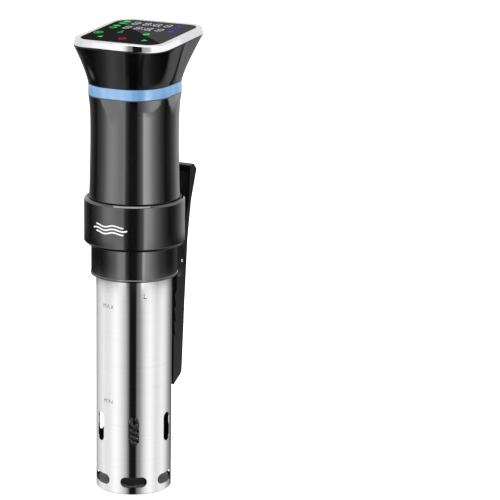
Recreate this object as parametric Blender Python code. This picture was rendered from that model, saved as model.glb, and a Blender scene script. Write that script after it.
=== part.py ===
"""Sous vide circulator: a stick heater with a touch head, a sliding clamp ring and a pull-off sleeve.

The frame has +Z up and its origin at the centre of the flat underside, on the axis of the steel
sleeve. The front, where the touch panel is read from, faces -Y, and the clamp is at the back, +Y.
Bearings round the axis are counted in degrees from the front towards +X.
Sizes are in metres.
"""
import math

import bmesh
import bpy
from mathutils import Matrix, Vector

MM = 0.001
GAP = 0.3 * MM

# Driving sizes of the sleeve and its openings
SLEEVE_R = 30.0 * MM
SLEEVE_WALL = 0.8 * MM
SLEEVE_TOP = 185.2 * MM
TALL_SLOT_BEARINGS = (30.0, 90.0, 210.0, 270.0, 330.0)
WIDE_SLOT_BEARINGS = (30.0, 90.0, 150.0, 210.0, 270.0, 330.0)
TALL_SLOT = (8.4 * MM, 40.8 * MM, 64.3 * MM)
WIDE_SLOT = (21.0 * MM, 6.0 * MM, 14.4 * MM)
STUD_BEARING = 46.5
STUD_Z = 162.4 * MM
CAP_TOP = 5.0 * MM

# Driving sizes of the collar and the wet end that hangs from it
COLLAR_R = 33.9 * MM
COLLAR_BOTTOM = 174.6 * MM
COLLAR_SHOULDER = 236.3 * MM
COLLAR_TOP = 246.0 * MM
FLANGE_BOTTOM = 185.5 * MM
FLANGE_TOP = 188.7 * MM
SHELF_BOTTOM = 190.3 * MM
SHELF_TOP = 193.5 * MM
SKIRT_R = 28.3 * MM
COIL_R = 11.5 * MM
COIL_TUBE = 1.45 * MM
COIL_HIGH = 55.1 * MM
COIL_PITCH = 9.2 * MM
COIL_TURNS = 2.03
COIL_SLANT = 0.45
COIL_FRONT = 30.0
COIL_LEGS = (18.0, 42.0)
SHAFT_R = 2.0 * MM
IMPELLER_Z = (12.5 * MM, 26.0 * MM)
BASE_SCREWS = (0.0, 120.0, 240.0)
SCREW_CIRCLE = 22.5 * MM

# Each probe's name, bearing, distance from the axis, radius and tip height
PROBES = (
    ("temp_probe", 170.0, 16.6 * MM, 2.0 * MM, 52.0 * MM),
    ("level_probe_long", 210.0, 16.6 * MM, 1.5 * MM, 72.0 * MM),
    ("level_probe_short", 300.0, 16.6 * MM, 1.5 * MM, 150.0 * MM),
)

# Driving sizes of the body above the ring, the light band and the head
GRIP_BOTTOM = 236.6 * MM
GRIP_R = 35.45 * MM
WAIST_R = 34.42 * MM
WAIST_Z = 287.0 * MM
WALL = 2.2 * MM
BAND_BOTTOM = 318.9 * MM
BAND_TOP = 327.0 * MM
BAND_TILT = math.radians(2.8)
BAND_SIDE = 67.6 * MM
BAND_CORNER = 27.0 * MM
BAND_BACK = 0.5 * MM
GRIP_FLARE = 3.0
HEAD_FLARE = 1.25
PANEL_Z = 364.3 * MM
PANEL_BACK = 5.7 * MM
PANEL_TILT = math.radians(5.9)
RIM_SIDE = 82.1 * MM
RIM_CORNER = 16.3 * MM
BEZEL_DEPTH = 5.0 * MM
GLASS_SIDE = 70.4 * MM
GLASS_CORNER = 12.0 * MM

# Driving sizes of the clamp ring and its lever
RING_R = 39.55 * MM
RING_BOTTOM = 199.8 * MM
RING_TOP = 236.1 * MM
PIVOT = Vector((0.0, 47.5 * MM, 176.0 * MM))
LEVER_HALF = 14.0 * MM
LEVER_WALL = 1.8 * MM
EAR_INNER = 14.3 * MM
EAR_OUTER = 16.8 * MM
PIN_R = 1.5 * MM
BRACKET_SCREWS = (208.0 * MM, 228.0 * MM)

# Colour, roughness and metallic value of each finish
FINISHES = {
    "gloss_black": ((0.012, 0.012, 0.013), 0.14, 0.0),
    "satin_black": ((0.02, 0.02, 0.021), 0.45, 0.0),
    "brushed_steel": ((0.78, 0.78, 0.77), 0.28, 1.0),
    "plain_steel": ((0.6, 0.6, 0.6), 0.35, 1.0),
    "chrome": ((0.88, 0.88, 0.9), 0.08, 1.0),
    "black_glass": ((0.012, 0.012, 0.014), 0.05, 0.0),
    "blue_light": ((0.35, 0.62, 0.95), 0.3, 0.0),
    "board_green": ((0.02, 0.16, 0.07), 0.5, 0.0),
    "pale_plastic": ((0.78, 0.77, 0.72), 0.45, 0.0),
    "grey_rubber": ((0.2, 0.2, 0.21), 0.8, 0.0),
    "brass": ((0.78, 0.58, 0.25), 0.3, 1.0),
    "aluminium": ((0.72, 0.73, 0.75), 0.35, 1.0),
}


def finish(node_name, finish_name):
    """Return a Principled material of the node's own in the named finish."""
    colour, roughness, metallic = FINISHES[finish_name]
    material = bpy.data.materials.new(node_name + "_" + finish_name)
    material.use_nodes = True
    shader = material.node_tree.nodes["Principled BSDF"]
    shader.inputs["Base Color"].default_value = (*colour, 1.0)
    shader.inputs["Roughness"].default_value = roughness
    shader.inputs["Metallic"].default_value = metallic
    return material


def add_object(name, work, finish_name, origin=(0.0, 0.0, 0.0), sharp_degrees=35.0):
    """Turn a bmesh in world coordinates into a named object whose origin is the given point."""
    bmesh.ops.recalc_face_normals(work, faces=work.faces)
    mesh = bpy.data.meshes.new(name)
    bmesh.ops.translate(work, verts=work.verts, vec=-Vector(origin))
    work.to_mesh(mesh)
    work.free()
    mesh.shade_smooth()
    mesh.set_sharp_from_angle(angle=math.radians(sharp_degrees))
    obj = bpy.data.objects.new(name, mesh)
    obj.location = origin
    bpy.context.scene.collection.objects.link(obj)
    if finish_name:
        mesh.materials.append(finish(name, finish_name))
    return obj


def skin(rings, closed_path=False):
    """Return a bmesh that joins rings of points with quads, as a closed loop or with end caps."""
    work = bmesh.new()
    loops = [[work.verts.new(point) for point in ring] for ring in rings]
    count = len(loops[0])
    steps = len(loops) if closed_path else len(loops) - 1
    for step in range(steps):
        first = loops[step]
        second = loops[(step + 1) % len(loops)]
        for k in range(count):
            work.faces.new((first[k], first[(k + 1) % count], second[(k + 1) % count], second[k]))
    if not closed_path:
        work.faces.new(loops[0])
        work.faces.new(list(reversed(loops[-1])))
    return work


def turned_mesh(profile, segments, matrix=None):
    """Revolve a closed profile of (radius, height) points, all off the axis, about Z."""
    rings = []
    for k in range(segments):
        angle = 2.0 * math.pi * k / segments
        rings.append([Vector((r * math.cos(angle), r * math.sin(angle), z)) for r, z in profile])
    work = skin(rings, closed_path=True)
    if matrix is not None:
        work.transform(matrix)
    return work


def turned(name, profile, finish_name, segments=36, matrix=None):
    """Make a hollow turned piece from a closed profile."""
    return add_object(name, turned_mesh(profile, segments, matrix), finish_name)


def rod_mesh(stations, segments, matrix=None):
    """Return a solid round bar through (radius, height) stations along Z, with flat ends."""
    rings = []
    for radius, height in stations:
        ring = []
        for k in range(segments):
            angle = 2.0 * math.pi * (k + 0.5) / segments
            ring.append(Vector((radius * math.cos(angle), radius * math.sin(angle), height)))
        rings.append(ring)
    work = skin(rings)
    if matrix is not None:
        work.transform(matrix)
    return work


def rod(name, stations, finish_name, segments=16, matrix=None):
    """Make a solid round bar through (radius, height) stations."""
    return add_object(name, rod_mesh(stations, segments, matrix), finish_name)


def box_mesh(low, high, matrix=None):
    """Return a box between two corners."""
    (x0, y0, z0), (x1, y1, z1) = low, high
    lower = [Vector(p) for p in ((x0, y0, z0), (x1, y0, z0), (x1, y1, z0), (x0, y1, z0))]
    upper = [p + Vector((0.0, 0.0, z1 - z0)) for p in lower]
    work = skin([lower, upper])
    if matrix is not None:
        work.transform(matrix)
    return work


def box(name, low, high, finish_name, matrix=None):
    """Make a plain block between two corners."""
    return add_object(name, box_mesh(low, high, matrix), finish_name)


def prism_mesh(outline, low_x, high_x):
    """Extrude a (y, z) outline along X."""
    rings = [[Vector((x, y, z)) for y, z in outline] for x in (low_x, high_x)]
    return skin(rings)


def cutter(name, work):
    """Make a hidden cutting shape."""
    obj = add_object(name, work, None)
    obj.hide_render = True
    obj.display_type = "WIRE"
    return obj


def join_meshes(pieces):
    """Gather several bmeshes that don't touch into one."""
    whole = bmesh.new()
    for piece in pieces:
        mesh = bpy.data.meshes.new("piece")
        bmesh.ops.recalc_face_normals(piece, faces=piece.faces)
        piece.to_mesh(mesh)
        piece.free()
        whole.from_mesh(mesh)
        bpy.data.meshes.remove(mesh)
    return whole


def boolean(target, tool, operation="DIFFERENCE"):
    """Cut or join a shape with an exact Boolean."""
    modifier = target.modifiers.new(tool.name, "BOOLEAN")
    modifier.operation = operation
    modifier.solver = "EXACT"
    modifier.object = tool


def bearing_point(degrees, radius, height=0.0):
    """Return the point at a bearing round the axis, counted from the front towards +X."""
    angle = math.radians(degrees)
    return Vector((radius * math.sin(angle), -radius * math.cos(angle), height))


def bearing_matrix(degrees, height=0.0):
    """Return the frame whose -Y axis points outwards at a bearing."""
    turn = Matrix.Rotation(math.radians(degrees), 4, "Z")
    return Matrix.Translation((0.0, 0.0, height)) @ turn


def panel_matrix(drop=0.0):
    """Return the frame of the tilted touch panel, lowered by a distance along its own normal."""
    place = Matrix.Translation((0.0, PANEL_BACK, PANEL_Z))
    tilt = Matrix.Rotation(PANEL_TILT, 4, "X")
    return place @ tilt @ Matrix.Translation((0.0, 0.0, -drop))


def reach(angle, side, corner):
    """Return how far a rounded square with this side and corner radius reaches in a direction."""
    across = max(abs(math.cos(angle)), abs(math.sin(angle)))
    along = min(abs(math.cos(angle)), abs(math.sin(angle)))
    core = side / 2.0 - corner
    flat = side / 2.0 / across
    if flat * along <= core:
        return flat
    total = core * (across + along)
    return total + math.sqrt(max(total * total - 2.0 * core * core + corner * corner, 0.0))


def rounded_ring(side, corner, count, matrix):
    """Return the points of a rounded square in the XY plane of a frame."""
    ring = []
    for k in range(count):
        angle = 2.0 * math.pi * k / count
        length = reach(angle, side, corner)
        ring.append(matrix @ Vector((length * math.cos(angle), length * math.sin(angle), 0.0)))
    return ring


def section_matrix(height, back, tilt):
    """Return the frame of a cross-section of the body."""
    return Matrix.Translation((0.0, back, height)) @ Matrix.Rotation(tilt, 4, "X")


def mix(first, second, share):
    """Blend two values."""
    return first + (second - first) * share


def grip_section(share):
    """Return side, corner, height, back offset and tilt of the grip at a share of its height."""
    top = BAND_BOTTOM - GAP
    height = mix(GRIP_BOTTOM, top, share)
    waist_share = (WAIST_Z - GRIP_BOTTOM) / (top - GRIP_BOTTOM)
    below = max(1.0 - share / waist_share, 0.0)
    radius = WAIST_R + (GRIP_R - WAIST_R) * below ** 1.5
    blend = max((share - waist_share) / (1.0 - waist_share), 0.0) ** GRIP_FLARE
    side = mix(2.0 * radius, BAND_SIDE, blend)
    corner = mix(radius, BAND_CORNER, blend)
    return side, corner, height, BAND_BACK * blend, BAND_TILT * blend


def head_section(share):
    """Return side, corner, height, back offset and tilt of the head at a share of its height."""
    flare = share ** HEAD_FLARE
    height = mix(BAND_TOP + GAP, PANEL_Z - BEZEL_DEPTH - GAP, share)
    side = mix(BAND_SIDE, RIM_SIDE, flare)
    corner = mix(BAND_CORNER, RIM_CORNER, flare)
    back = mix(BAND_BACK, PANEL_BACK, flare)
    return side, corner, height, back, mix(BAND_TILT, PANEL_TILT, share)


def shell_rings(section, shares, count, wall):
    """Return the outer rings going up and the inner rings coming down of a hollow shell."""
    outer = []
    inner = []
    for share in shares:
        side, corner, height, back, tilt = section(share)
        matrix = section_matrix(height, back, tilt)
        outer.append(rounded_ring(side, corner, count, matrix))
        inner.append(rounded_ring(side - 2.0 * wall, corner - wall, count, matrix))
    return outer + list(reversed(inner))


def helix_points(radius, low, high, turns, start, steps):
    """Return points along a helix about Z."""
    points = []
    for k in range(steps * turns + 1):
        share = k / (steps * turns)
        angle = start + 2.0 * math.pi * turns * share
        points.append(Vector((radius * math.cos(angle), radius * math.sin(angle), mix(low, high, share))))
    return points


def tube_mesh(points, radius, sides):
    """Sweep a round section along a path of points, without twisting it, and close its ends."""
    rings = []
    normal = None
    for k, point in enumerate(points):
        before = points[max(k - 1, 0)]
        after = points[min(k + 1, len(points) - 1)]
        tangent = (after - before).normalized()
        if normal is None:
            normal = tangent.orthogonal()
        normal = (normal - tangent * normal.dot(tangent)).normalized()
        side = tangent.cross(normal)
        ring = []
        for j in range(sides):
            angle = 2.0 * math.pi * j / sides
            ring.append(point + radius * (math.cos(angle) * normal + math.sin(angle) * side))
        rings.append(ring)
    return skin(rings)


# ---------------------------------------------------------------- touch head

def touch_glass():
    """Make the black glass plate that is the whole top."""
    plate = [rounded_ring(GLASS_SIDE, GLASS_CORNER, 48, panel_matrix(drop)) for drop in (1.8 * MM, 0.0)]
    add_object("touch_glass", skin(plate), "black_glass")


def bezel_ring():
    """Make the chrome frame round the glass, with a ledge that the glass rests on."""
    inner = GLASS_SIDE / 2.0 + GAP
    outer = RIM_SIDE / 2.0
    profile = [
        (outer - 0.3 * MM, BEZEL_DEPTH), (outer, 3.4 * MM), (outer - 0.2 * MM, 1.8 * MM),
        (outer - 1.3 * MM, 0.5 * MM), (outer - 2.8 * MM, 0.0), (inner, 0.0), (inner, 2.6 * MM),
        (inner - 1.6 * MM, 2.6 * MM), (inner - 1.6 * MM, BEZEL_DEPTH),
    ]
    rings = []
    for half, drop in profile:
        corner = RIM_CORNER - (outer - half)
        rings.append(rounded_ring(2.0 * half, corner, 48, panel_matrix(drop)))
    add_object("bezel_ring", skin(rings, closed_path=True), "chrome")


def glass_gasket():
    """Make the thin adhesive seal between the glass and its ledge."""
    rings = []
    for inset, drop in ((0.2, 2.3), (0.2, 2.1), (1.5, 2.1), (1.5, 2.3)):
        half = GLASS_SIDE / 2.0 - inset * MM
        rings.append(rounded_ring(2.0 * half, GLASS_CORNER - inset * MM, 48, panel_matrix(drop * MM)))
    add_object("glass_gasket", skin(rings, closed_path=True), "grey_rubber")


def touch_electronics():
    """Make the display board, its module, buzzer, touch springs and screws under the glass."""
    lift = panel_matrix()
    board = [rounded_ring(55.4 * MM, 10.2 * MM, 48, panel_matrix(drop)) for drop in (12.0 * MM, 10.4 * MM)]
    add_object("display_board", skin(board), "board_green")
    box("display_module", (-21.5 * MM, 0.5 * MM, -10.1 * MM), (21.5 * MM, 26.5 * MM, -2.6 * MM),
        "satin_black", lift)
    buzzer = lift @ Matrix.Translation((14.0 * MM, -12.0 * MM, 0.0))
    rod("buzzer", [(6.0 * MM, -20.0 * MM), (6.0 * MM, -12.3 * MM)], "satin_black", 16, buzzer)
    for number, (x, y) in enumerate(((-23.5, -12.0), (-18.5, -23.0), (0.0, -23.5), (18.5, -23.0)), 1):
        coil = helix_points(2.6 * MM, -9.4 * MM, -3.0 * MM, 3, 0.0, 6)
        work = tube_mesh([lift @ (p + Vector((x * MM, y * MM, 0.0))) for p in coil], 0.35 * MM, 4)
        add_object("touch_spring_" + str(number), work, "brass")


def panel_frame():
    """Make the plastic frame that carries the boards, screwed up under the bezel."""
    rings = []
    for half, drop in ((32.0, 5.5), (28.2, 5.5), (28.2, 12.6), (23.5, 12.6), (23.5, 14.6), (32.0, 14.6)):
        rings.append(rounded_ring(2.0 * half * MM, (half - 17.5) * MM, 48, panel_matrix(drop * MM)))
    frame = add_object("panel_frame", skin(rings, closed_path=True), "satin_black")
    holes = []
    for number, side in ((1, -1.0), (2, 1.0)):
        spot = panel_matrix() @ Matrix.Translation((side * 25.4 * MM, 0.0, 0.0))
        holes.append(rod_mesh([(1.3 * MM, -16.0 * MM), (1.3 * MM, -9.0 * MM)], 12, spot))
        screw = [(2.4 * MM, -16.4 * MM), (2.4 * MM, -14.9 * MM), (1.0 * MM, -14.9 * MM),
                 (1.0 * MM, -9.5 * MM)]
        rod("board_screw_" + str(number), screw, "plain_steel", 12, spot)
    tool = cutter("board_holes", join_meshes(holes))
    boolean(frame, tool)
    boolean(bpy.data.objects["display_board"], tool)


def head_shell():
    """Make the flared head casing between the light band and the bezel."""
    shares = [0.0, 0.2, 0.4, 0.6, 0.8, 1.0]
    add_object("head_shell", skin(shell_rings(head_section, shares, 48, WALL), closed_path=True),
               "gloss_black")


def light_band():
    """Make the blue light ring and the round lamp board inside it."""
    rings = []
    for half, height in ((0.0, BAND_BOTTOM), (0.0, BAND_TOP), (WALL, BAND_TOP), (WALL, BAND_BOTTOM)):
        matrix = section_matrix(height, BAND_BACK, BAND_TILT)
        rings.append(rounded_ring(BAND_SIDE - 2.0 * half, BAND_CORNER - half, 48, matrix))
    add_object("light_ring", skin(rings, closed_path=True), "blue_light")
    lamp = section_matrix(mix(BAND_BOTTOM, BAND_TOP, 0.5), BAND_BACK, BAND_TILT)
    board = [(29.8 * MM, -0.6 * MM), (29.8 * MM, 0.6 * MM), (21.0 * MM, 0.6 * MM), (21.0 * MM, -0.6 * MM)]
    turned("lamp_board", board, "board_green", 32, lamp)


# ---------------------------------------------------------------- grip and drive

def grip_shell():
    """Make the round body casing, with the hole for the cord inlet at the back."""
    shares = [0.0, 0.2, 0.6, 0.8, 1.0]
    shell = add_object("grip_shell", skin(shell_rings(grip_section, shares, 40, WALL), closed_path=True),
                       "gloss_black")
    hole = rod_mesh([(5.3 * MM, 20.0 * MM), (5.3 * MM, 45.0 * MM)], 16, gland_matrix())
    boolean(shell, cutter("gland_hole", hole))


def gland_matrix():
    """Return the frame of the cord inlet, whose Z axis points out of the back."""
    return Matrix.Translation((0.0, 0.0, 304.0 * MM)) @ Matrix.Rotation(math.radians(-90.0), 4, "X")


def cord_inlet():
    """Make the empty cord gland and the nut that holds it inside the casing."""
    bore = 3.7 * MM
    profile = [
        (bore, 26.0 * MM), (5.0 * MM, 26.0 * MM), (5.0 * MM, 34.9 * MM), (8.0 * MM, 34.9 * MM),
        (8.0 * MM, 37.0 * MM), (6.6 * MM, 38.6 * MM), (6.0 * MM, 42.5 * MM), (bore, 42.5 * MM),
    ]
    turned("cord_gland", profile, "satin_black", 16, gland_matrix())
    nut = [(5.3 * MM, 27.0 * MM), (8.0 * MM, 27.0 * MM), (8.0 * MM, 30.4 * MM), (5.3 * MM, 30.4 * MM)]
    turned("gland_nut", nut, "satin_black", 16, gland_matrix())


def power_electronics():
    """Make the main board standing above the motor, with the parts soldered to it."""
    face = 4.0 * MM
    box("main_board", (-23.0 * MM, face, 256.0 * MM), (23.0 * MM, face + 1.6 * MM, 314.0 * MM), "board_green")
    front = face - GAP
    box("transformer", (-17.0 * MM, front - 18.0 * MM, 262.0 * MM), (3.0 * MM, front, 282.0 * MM),
        "pale_plastic")
    box("relay", (-17.0 * MM, front - 15.0 * MM, 288.0 * MM), (2.0 * MM, front, 303.0 * MM), "satin_black")
    box("terminal_block", (6.5 * MM, front - 10.0 * MM, 300.0 * MM), (21.0 * MM, front, 309.0 * MM),
        "pale_plastic")
    spot = Matrix.Translation((13.5 * MM, 0.0, 270.0 * MM)) @ Matrix.Rotation(math.radians(90.0), 4, "X")
    rod("capacitor", [(6.3 * MM, -front), (6.3 * MM, -front + 18.0 * MM)], "satin_black", 16, spot)
    heat_sink(face + 1.6 * MM + GAP)


def heat_sink(base):
    """Make the finned block behind the main board that cools its power switch."""
    half = 15.0 * MM
    fins = 5
    width = 2.0 * half / (2 * fins - 1)
    outline = [(half, base), (-half, base)]
    for k in range(fins):
        left = -half + 2 * k * width
        outline += [(left, base + 14.0 * MM), (left + width, base + 14.0 * MM)]
        if k < fins - 1:
            outline += [(left + width, base + 3.0 * MM), (left + 2.0 * width, base + 3.0 * MM)]
    rings = [[Vector((x, y, z)) for x, y in outline] for z in (262.0 * MM, 290.0 * MM)]
    add_object("heat_sink", skin(rings), "aluminium")


def base_collar():
    """Make the collar that joins the casing to the wet end and that the clamp ring slides on."""
    profile = [
        (COLLAR_R - 0.2 * MM, COLLAR_BOTTOM), (COLLAR_R + 0.4 * MM, COLLAR_BOTTOM + 0.5 * MM),
        (COLLAR_R + 0.4 * MM, COLLAR_BOTTOM + 1.4 * MM), (COLLAR_R, COLLAR_BOTTOM + 1.9 * MM),
        (COLLAR_R, COLLAR_SHOULDER), (32.7 * MM, COLLAR_SHOULDER), (32.7 * MM, COLLAR_TOP),
        (31.0 * MM, COLLAR_TOP), (31.0 * MM, SHELF_TOP), (19.0 * MM, SHELF_TOP),
        (19.0 * MM, SHELF_BOTTOM), (30.5 * MM, SHELF_BOTTOM), (30.5 * MM, COLLAR_BOTTOM + 0.6 * MM),
        (30.9 * MM, COLLAR_BOTTOM),
    ]
    collar = turned("base_collar", profile, "gloss_black")
    holes = [rod_mesh([(1.1 * MM, SHELF_BOTTOM - 1.0 * MM), (1.1 * MM, SHELF_TOP + 1.0 * MM)], 12,
                      Matrix.Translation(bearing_point(angle, SCREW_CIRCLE))) for angle in BASE_SCREWS]
    boolean(collar, cutter("collar_screw_holes", join_meshes(holes)))


def motor_group():
    """Make the motor, the disc it stands on and the two screws that hold it."""
    disc = [(30.7 * MM, 205.0 * MM), (30.7 * MM, 207.5 * MM), (7.0 * MM, 207.5 * MM), (7.0 * MM, 205.0 * MM)]
    mount = turned("motor_mount", disc, "plain_steel", 20)
    bore = 2.8 * MM
    can = [
        (bore, 203.0 * MM), (6.0 * MM, 203.0 * MM), (6.0 * MM, 207.8 * MM), (18.0 * MM, 207.8 * MM),
        (18.0 * MM, 247.0 * MM), (16.5 * MM, 248.5 * MM), (6.0 * MM, 248.5 * MM), (6.0 * MM, 251.0 * MM),
        (bore, 251.0 * MM),
    ]
    turned("motor", can, "plain_steel", 16)
    holes = []
    for number, side in ((1, -1.0), (2, 1.0)):
        spot = Matrix.Translation((side * 13.0 * MM, 0.0, 0.0))
        holes.append(rod_mesh([(1.6 * MM, 204.0 * MM), (1.6 * MM, 212.0 * MM)], 12, spot))
        screw = [(2.6 * MM, 202.9 * MM), (2.6 * MM, 204.7 * MM), (1.3 * MM, 204.7 * MM),
                 (1.3 * MM, 211.0 * MM)]
        rod("motor_screw_" + str(number), screw, "plain_steel", 12, spot)
    tool = cutter("motor_screw_holes", join_meshes(holes))
    boolean(mount, tool)
    boolean(bpy.data.objects["motor"], tool)


# ---------------------------------------------------------------- wet end

def heater_base():
    """Make the steel bulkhead between the water and the works, with its skirt inside the sleeve."""
    profile = [
        (6.3 * MM, FLANGE_TOP), (6.3 * MM, FLANGE_BOTTOM), (26.9 * MM, FLANGE_BOTTOM),
        (26.9 * MM, 157.0 * MM),
        (SKIRT_R - 0.6 * MM, 157.0 * MM), (SKIRT_R, 158.5 * MM), (SKIRT_R, 176.8 * MM),
        (SKIRT_R - 0.9 * MM, 176.8 * MM), (SKIRT_R - 0.9 * MM, 179.4 * MM), (SKIRT_R, 179.4 * MM),
        (SKIRT_R, FLANGE_BOTTOM), (30.2 * MM, FLANGE_BOTTOM), (30.2 * MM, FLANGE_TOP),
    ]
    base = turned("heater_base", profile, "brushed_steel")
    low = FLANGE_BOTTOM - 1.0 * MM
    high = FLANGE_TOP + 1.0 * MM
    holes = []
    for angle in BASE_SCREWS:
        spot = Matrix.Translation(bearing_point(angle, SCREW_CIRCLE))
        holes.append(rod_mesh([(1.7 * MM, low), (1.7 * MM, high)], 12, spot))
    for _, angle, distance, radius, _ in PROBES:
        spot = Matrix.Translation(bearing_point(angle, distance))
        holes.append(rod_mesh([(radius + GAP, low), (radius + GAP, high)], 12, spot))
    for angle in COIL_LEGS:
        spot = Matrix.Translation(bearing_point(angle, COIL_R))
        holes.append(rod_mesh([(COIL_TUBE + GAP, low), (COIL_TUBE + GAP, high)], 12, spot))
    boolean(base, cutter("base_holes", join_meshes(holes)))


def base_fasteners():
    """Make the three screws that pull the bulkhead up against its seal."""
    for number, angle in enumerate(BASE_SCREWS, 1):
        spot = Matrix.Translation(bearing_point(angle, SCREW_CIRCLE))
        screw = [
            (2.6 * MM, FLANGE_BOTTOM - 2.2 * MM), (2.9 * MM, FLANGE_BOTTOM - GAP),
            (1.3 * MM, FLANGE_BOTTOM - GAP), (1.3 * MM, FLANGE_TOP + GAP),
            (0.8 * MM, FLANGE_TOP + GAP), (0.8 * MM, SHELF_TOP + 2.0 * MM),
        ]
        rod("base_screw_" + str(number), screw, "plain_steel", 12, spot)


def seals():
    """Make the bulkhead gasket, the sleeve's O-ring and the shaft seal."""
    low = FLANGE_TOP + GAP
    high = SHELF_BOTTOM - GAP
    turned("base_seal", [(25.6 * MM, low), (30.0 * MM, low), (30.0 * MM, high), (25.6 * MM, high)],
           "grey_rubber")
    ring = []
    for k in range(4):
        angle = 2.0 * math.pi * k / 4.0
        ring.append((28.32 * MM + 0.7 * MM * math.cos(angle), 178.1 * MM + 0.9 * MM * math.sin(angle)))
    turned("sleeve_o_ring", ring, "grey_rubber")
    bore = 2.3 * MM
    profile = [
        (bore, 184.5 * MM), (4.0 * MM, 184.5 * MM), (6.0 * MM, 185.4 * MM), (6.0 * MM, 188.2 * MM),
        (6.0 * MM, 190.0 * MM), (bore, 190.0 * MM),
    ]
    turned("shaft_seal", profile, "grey_rubber", 14)


def shaft_guide():
    """Make the fixed tube round the long shaft and the bush at its lower end."""
    tube = [
        (4.4 * MM, 31.0 * MM), (5.2 * MM, 31.0 * MM), (5.2 * MM, 180.5 * MM), (8.2 * MM, 180.5 * MM),
        (8.2 * MM, 182.0 * MM), (4.4 * MM, 182.0 * MM),
    ]
    turned("shaft_tube", tube, "brushed_steel", 16)
    bush = [(2.25 * MM, 29.0 * MM), (5.0 * MM, 29.0 * MM), (5.0 * MM, 30.7 * MM), (4.1 * MM, 30.7 * MM),
            (4.1 * MM, 39.0 * MM), (2.25 * MM, 39.0 * MM)]
    turned("lower_bush", bush, "pale_plastic", 16)


def coil_point(start, high, turns):
    """Return the point of the slanted winding that lies some turns on from its starting bearing."""
    degrees = start + 360.0 * turns
    slant = COIL_SLANT * COIL_R * math.sin(math.radians(degrees - COIL_FRONT))
    return bearing_point(degrees, COIL_R, high - COIL_PITCH * turns - slant)


def coil_strand(start, high, turns):
    """Return the points from the top of a leg, round its bend and down one strand of the winding."""
    corner = coil_point(start, high, 0.0)
    bend = 3.0 * MM
    lead = bend / (2.0 * math.pi * COIL_R)
    above = corner + Vector((0.0, 0.0, bend))
    after = coil_point(start, high, lead)
    top = Vector((corner.x, corner.y, 196.0 * MM))
    points = [top, mix(top, above, 0.5), above]
    for share in (0.25, 0.5, 0.75):
        points.append(mix(mix(above, corner, share), mix(corner, after, share), share))
    count = round(24 * turns)
    return points + [coil_point(start, high, mix(lead, turns, k / count)) for k in range(count + 1)]


def heater_coil():
    """Make the double-wound heating tube, down one strand, back on itself and up the other."""
    second_start, start = COIL_LEGS
    apart = (start - second_start) / 360.0
    down = coil_strand(start, COIL_HIGH, COIL_TURNS)
    up = coil_strand(second_start, COIL_HIGH - COIL_PITCH * (0.5 - apart), COIL_TURNS + apart)
    bulge = COIL_PITCH / 4.0
    back = []
    for k in range(1, 6):
        angle = math.pi * k / 6.0
        past = bulge * math.sin(angle) / (2.0 * math.pi * COIL_R)
        point = coil_point(start, COIL_HIGH, COIL_TURNS + past)
        back.append(point + Vector((0.0, 0.0, bulge * (math.cos(angle) - 1.0))))
    add_object("heater_coil", tube_mesh(down + back + up[::-1], COIL_TUBE, 6), "brushed_steel")


def probes():
    """Make the temperature probe and the two water level probes."""
    for name, angle, distance, radius, tip in PROBES:
        spot = Matrix.Translation(bearing_point(angle, distance))
        stations = [(radius * 0.55, tip), (radius, tip + radius * 0.7), (radius, FLANGE_TOP + 5.0 * MM)]
        rod(name, stations, "brushed_steel", 12, spot)


# ---------------------------------------------------------------- rotor

def drive_train():
    """Make the turning pieces: motor shaft, coupling, long shaft and impeller."""
    rod("motor_shaft", [(2.5 * MM, 200.6 * MM), (2.5 * MM, 249.5 * MM)], "plain_steel", 12)
    coupling = [(5.0 * MM, 192.0 * MM), (5.0 * MM, 202.6 * MM), (2.8 * MM, 202.6 * MM),
                (2.8 * MM, 200.2 * MM),
                (2.3 * MM, 200.2 * MM), (2.3 * MM, 192.0 * MM)]
    turned("shaft_coupling", coupling, "brass", 14)
    rod("drive_shaft", [(SHAFT_R * 0.7, 10.5 * MM), (SHAFT_R, 11.2 * MM), (SHAFT_R, 199.8 * MM)],
        "plain_steel", 12)
    impeller()


def impeller():
    """Make the six-bladed impeller with its hub and lower disc."""
    low, high = IMPELLER_Z
    bore = SHAFT_R + GAP
    hub = turned("impeller", [(bore, low), (19.0 * MM, low), (19.0 * MM, low + 1.6 * MM),
                              (5.5 * MM, low + 1.6 * MM), (4.6 * MM, high + 1.0 * MM),
                              (bore, high + 1.0 * MM)],
                 "satin_black", 36)
    blades = []
    for k in range(6):
        turn = Matrix.Rotation(math.radians(60.0 * k), 4, "Z")
        lean = Matrix.Rotation(math.radians(25.0), 4, "Z")
        shift = Matrix.Translation((4.0 * MM, 0.0, 0.0))
        blade = box_mesh((0.3 * MM, -0.7 * MM, low + 1.0 * MM), (14.2 * MM, 0.7 * MM, high),
                         turn @ shift @ lean)
        blades.append(blade)
    boolean(hub, cutter("impeller_blades", join_meshes(blades)), "UNION")


# ---------------------------------------------------------------- sleeve

def slot_outline(width, height, arc_steps=4):
    """Return the outline of a slot with round ends, centred on the origin, as (across, up) points."""
    radius = min(width, height) / 2.0
    across = width / 2.0 - radius
    up = height / 2.0 - radius
    points = []
    for start, (cx, cy) in ((0.0, (across, up)), (90.0, (-across, up)),
                            (180.0, (-across, -up)), (270.0, (across, -up))):
        for k in range(arc_steps // 2 + 1):
            angle = math.radians(start + 90.0 * k / (arc_steps // 2))
            spot = (cx + radius * math.cos(angle), cy + radius * math.sin(angle))
            if not points or math.dist(spot, points[-1]) > 0.01 * MM:
                points.append(spot)
    if math.dist(points[0], points[-1]) < 0.01 * MM:
        points.pop()
    return points


def slot_cutter(bearing, width, low, high, inner, outer):
    """Return a plug with a slot's outline that passes through the sleeve wall at a bearing."""
    outline = slot_outline(width, high - low)
    matrix = bearing_matrix(bearing, (low + high) / 2.0)
    rings = [[matrix @ Vector((x, -y, z)) for x, z in outline] for y in (inner, outer)]
    return skin(rings)


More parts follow.
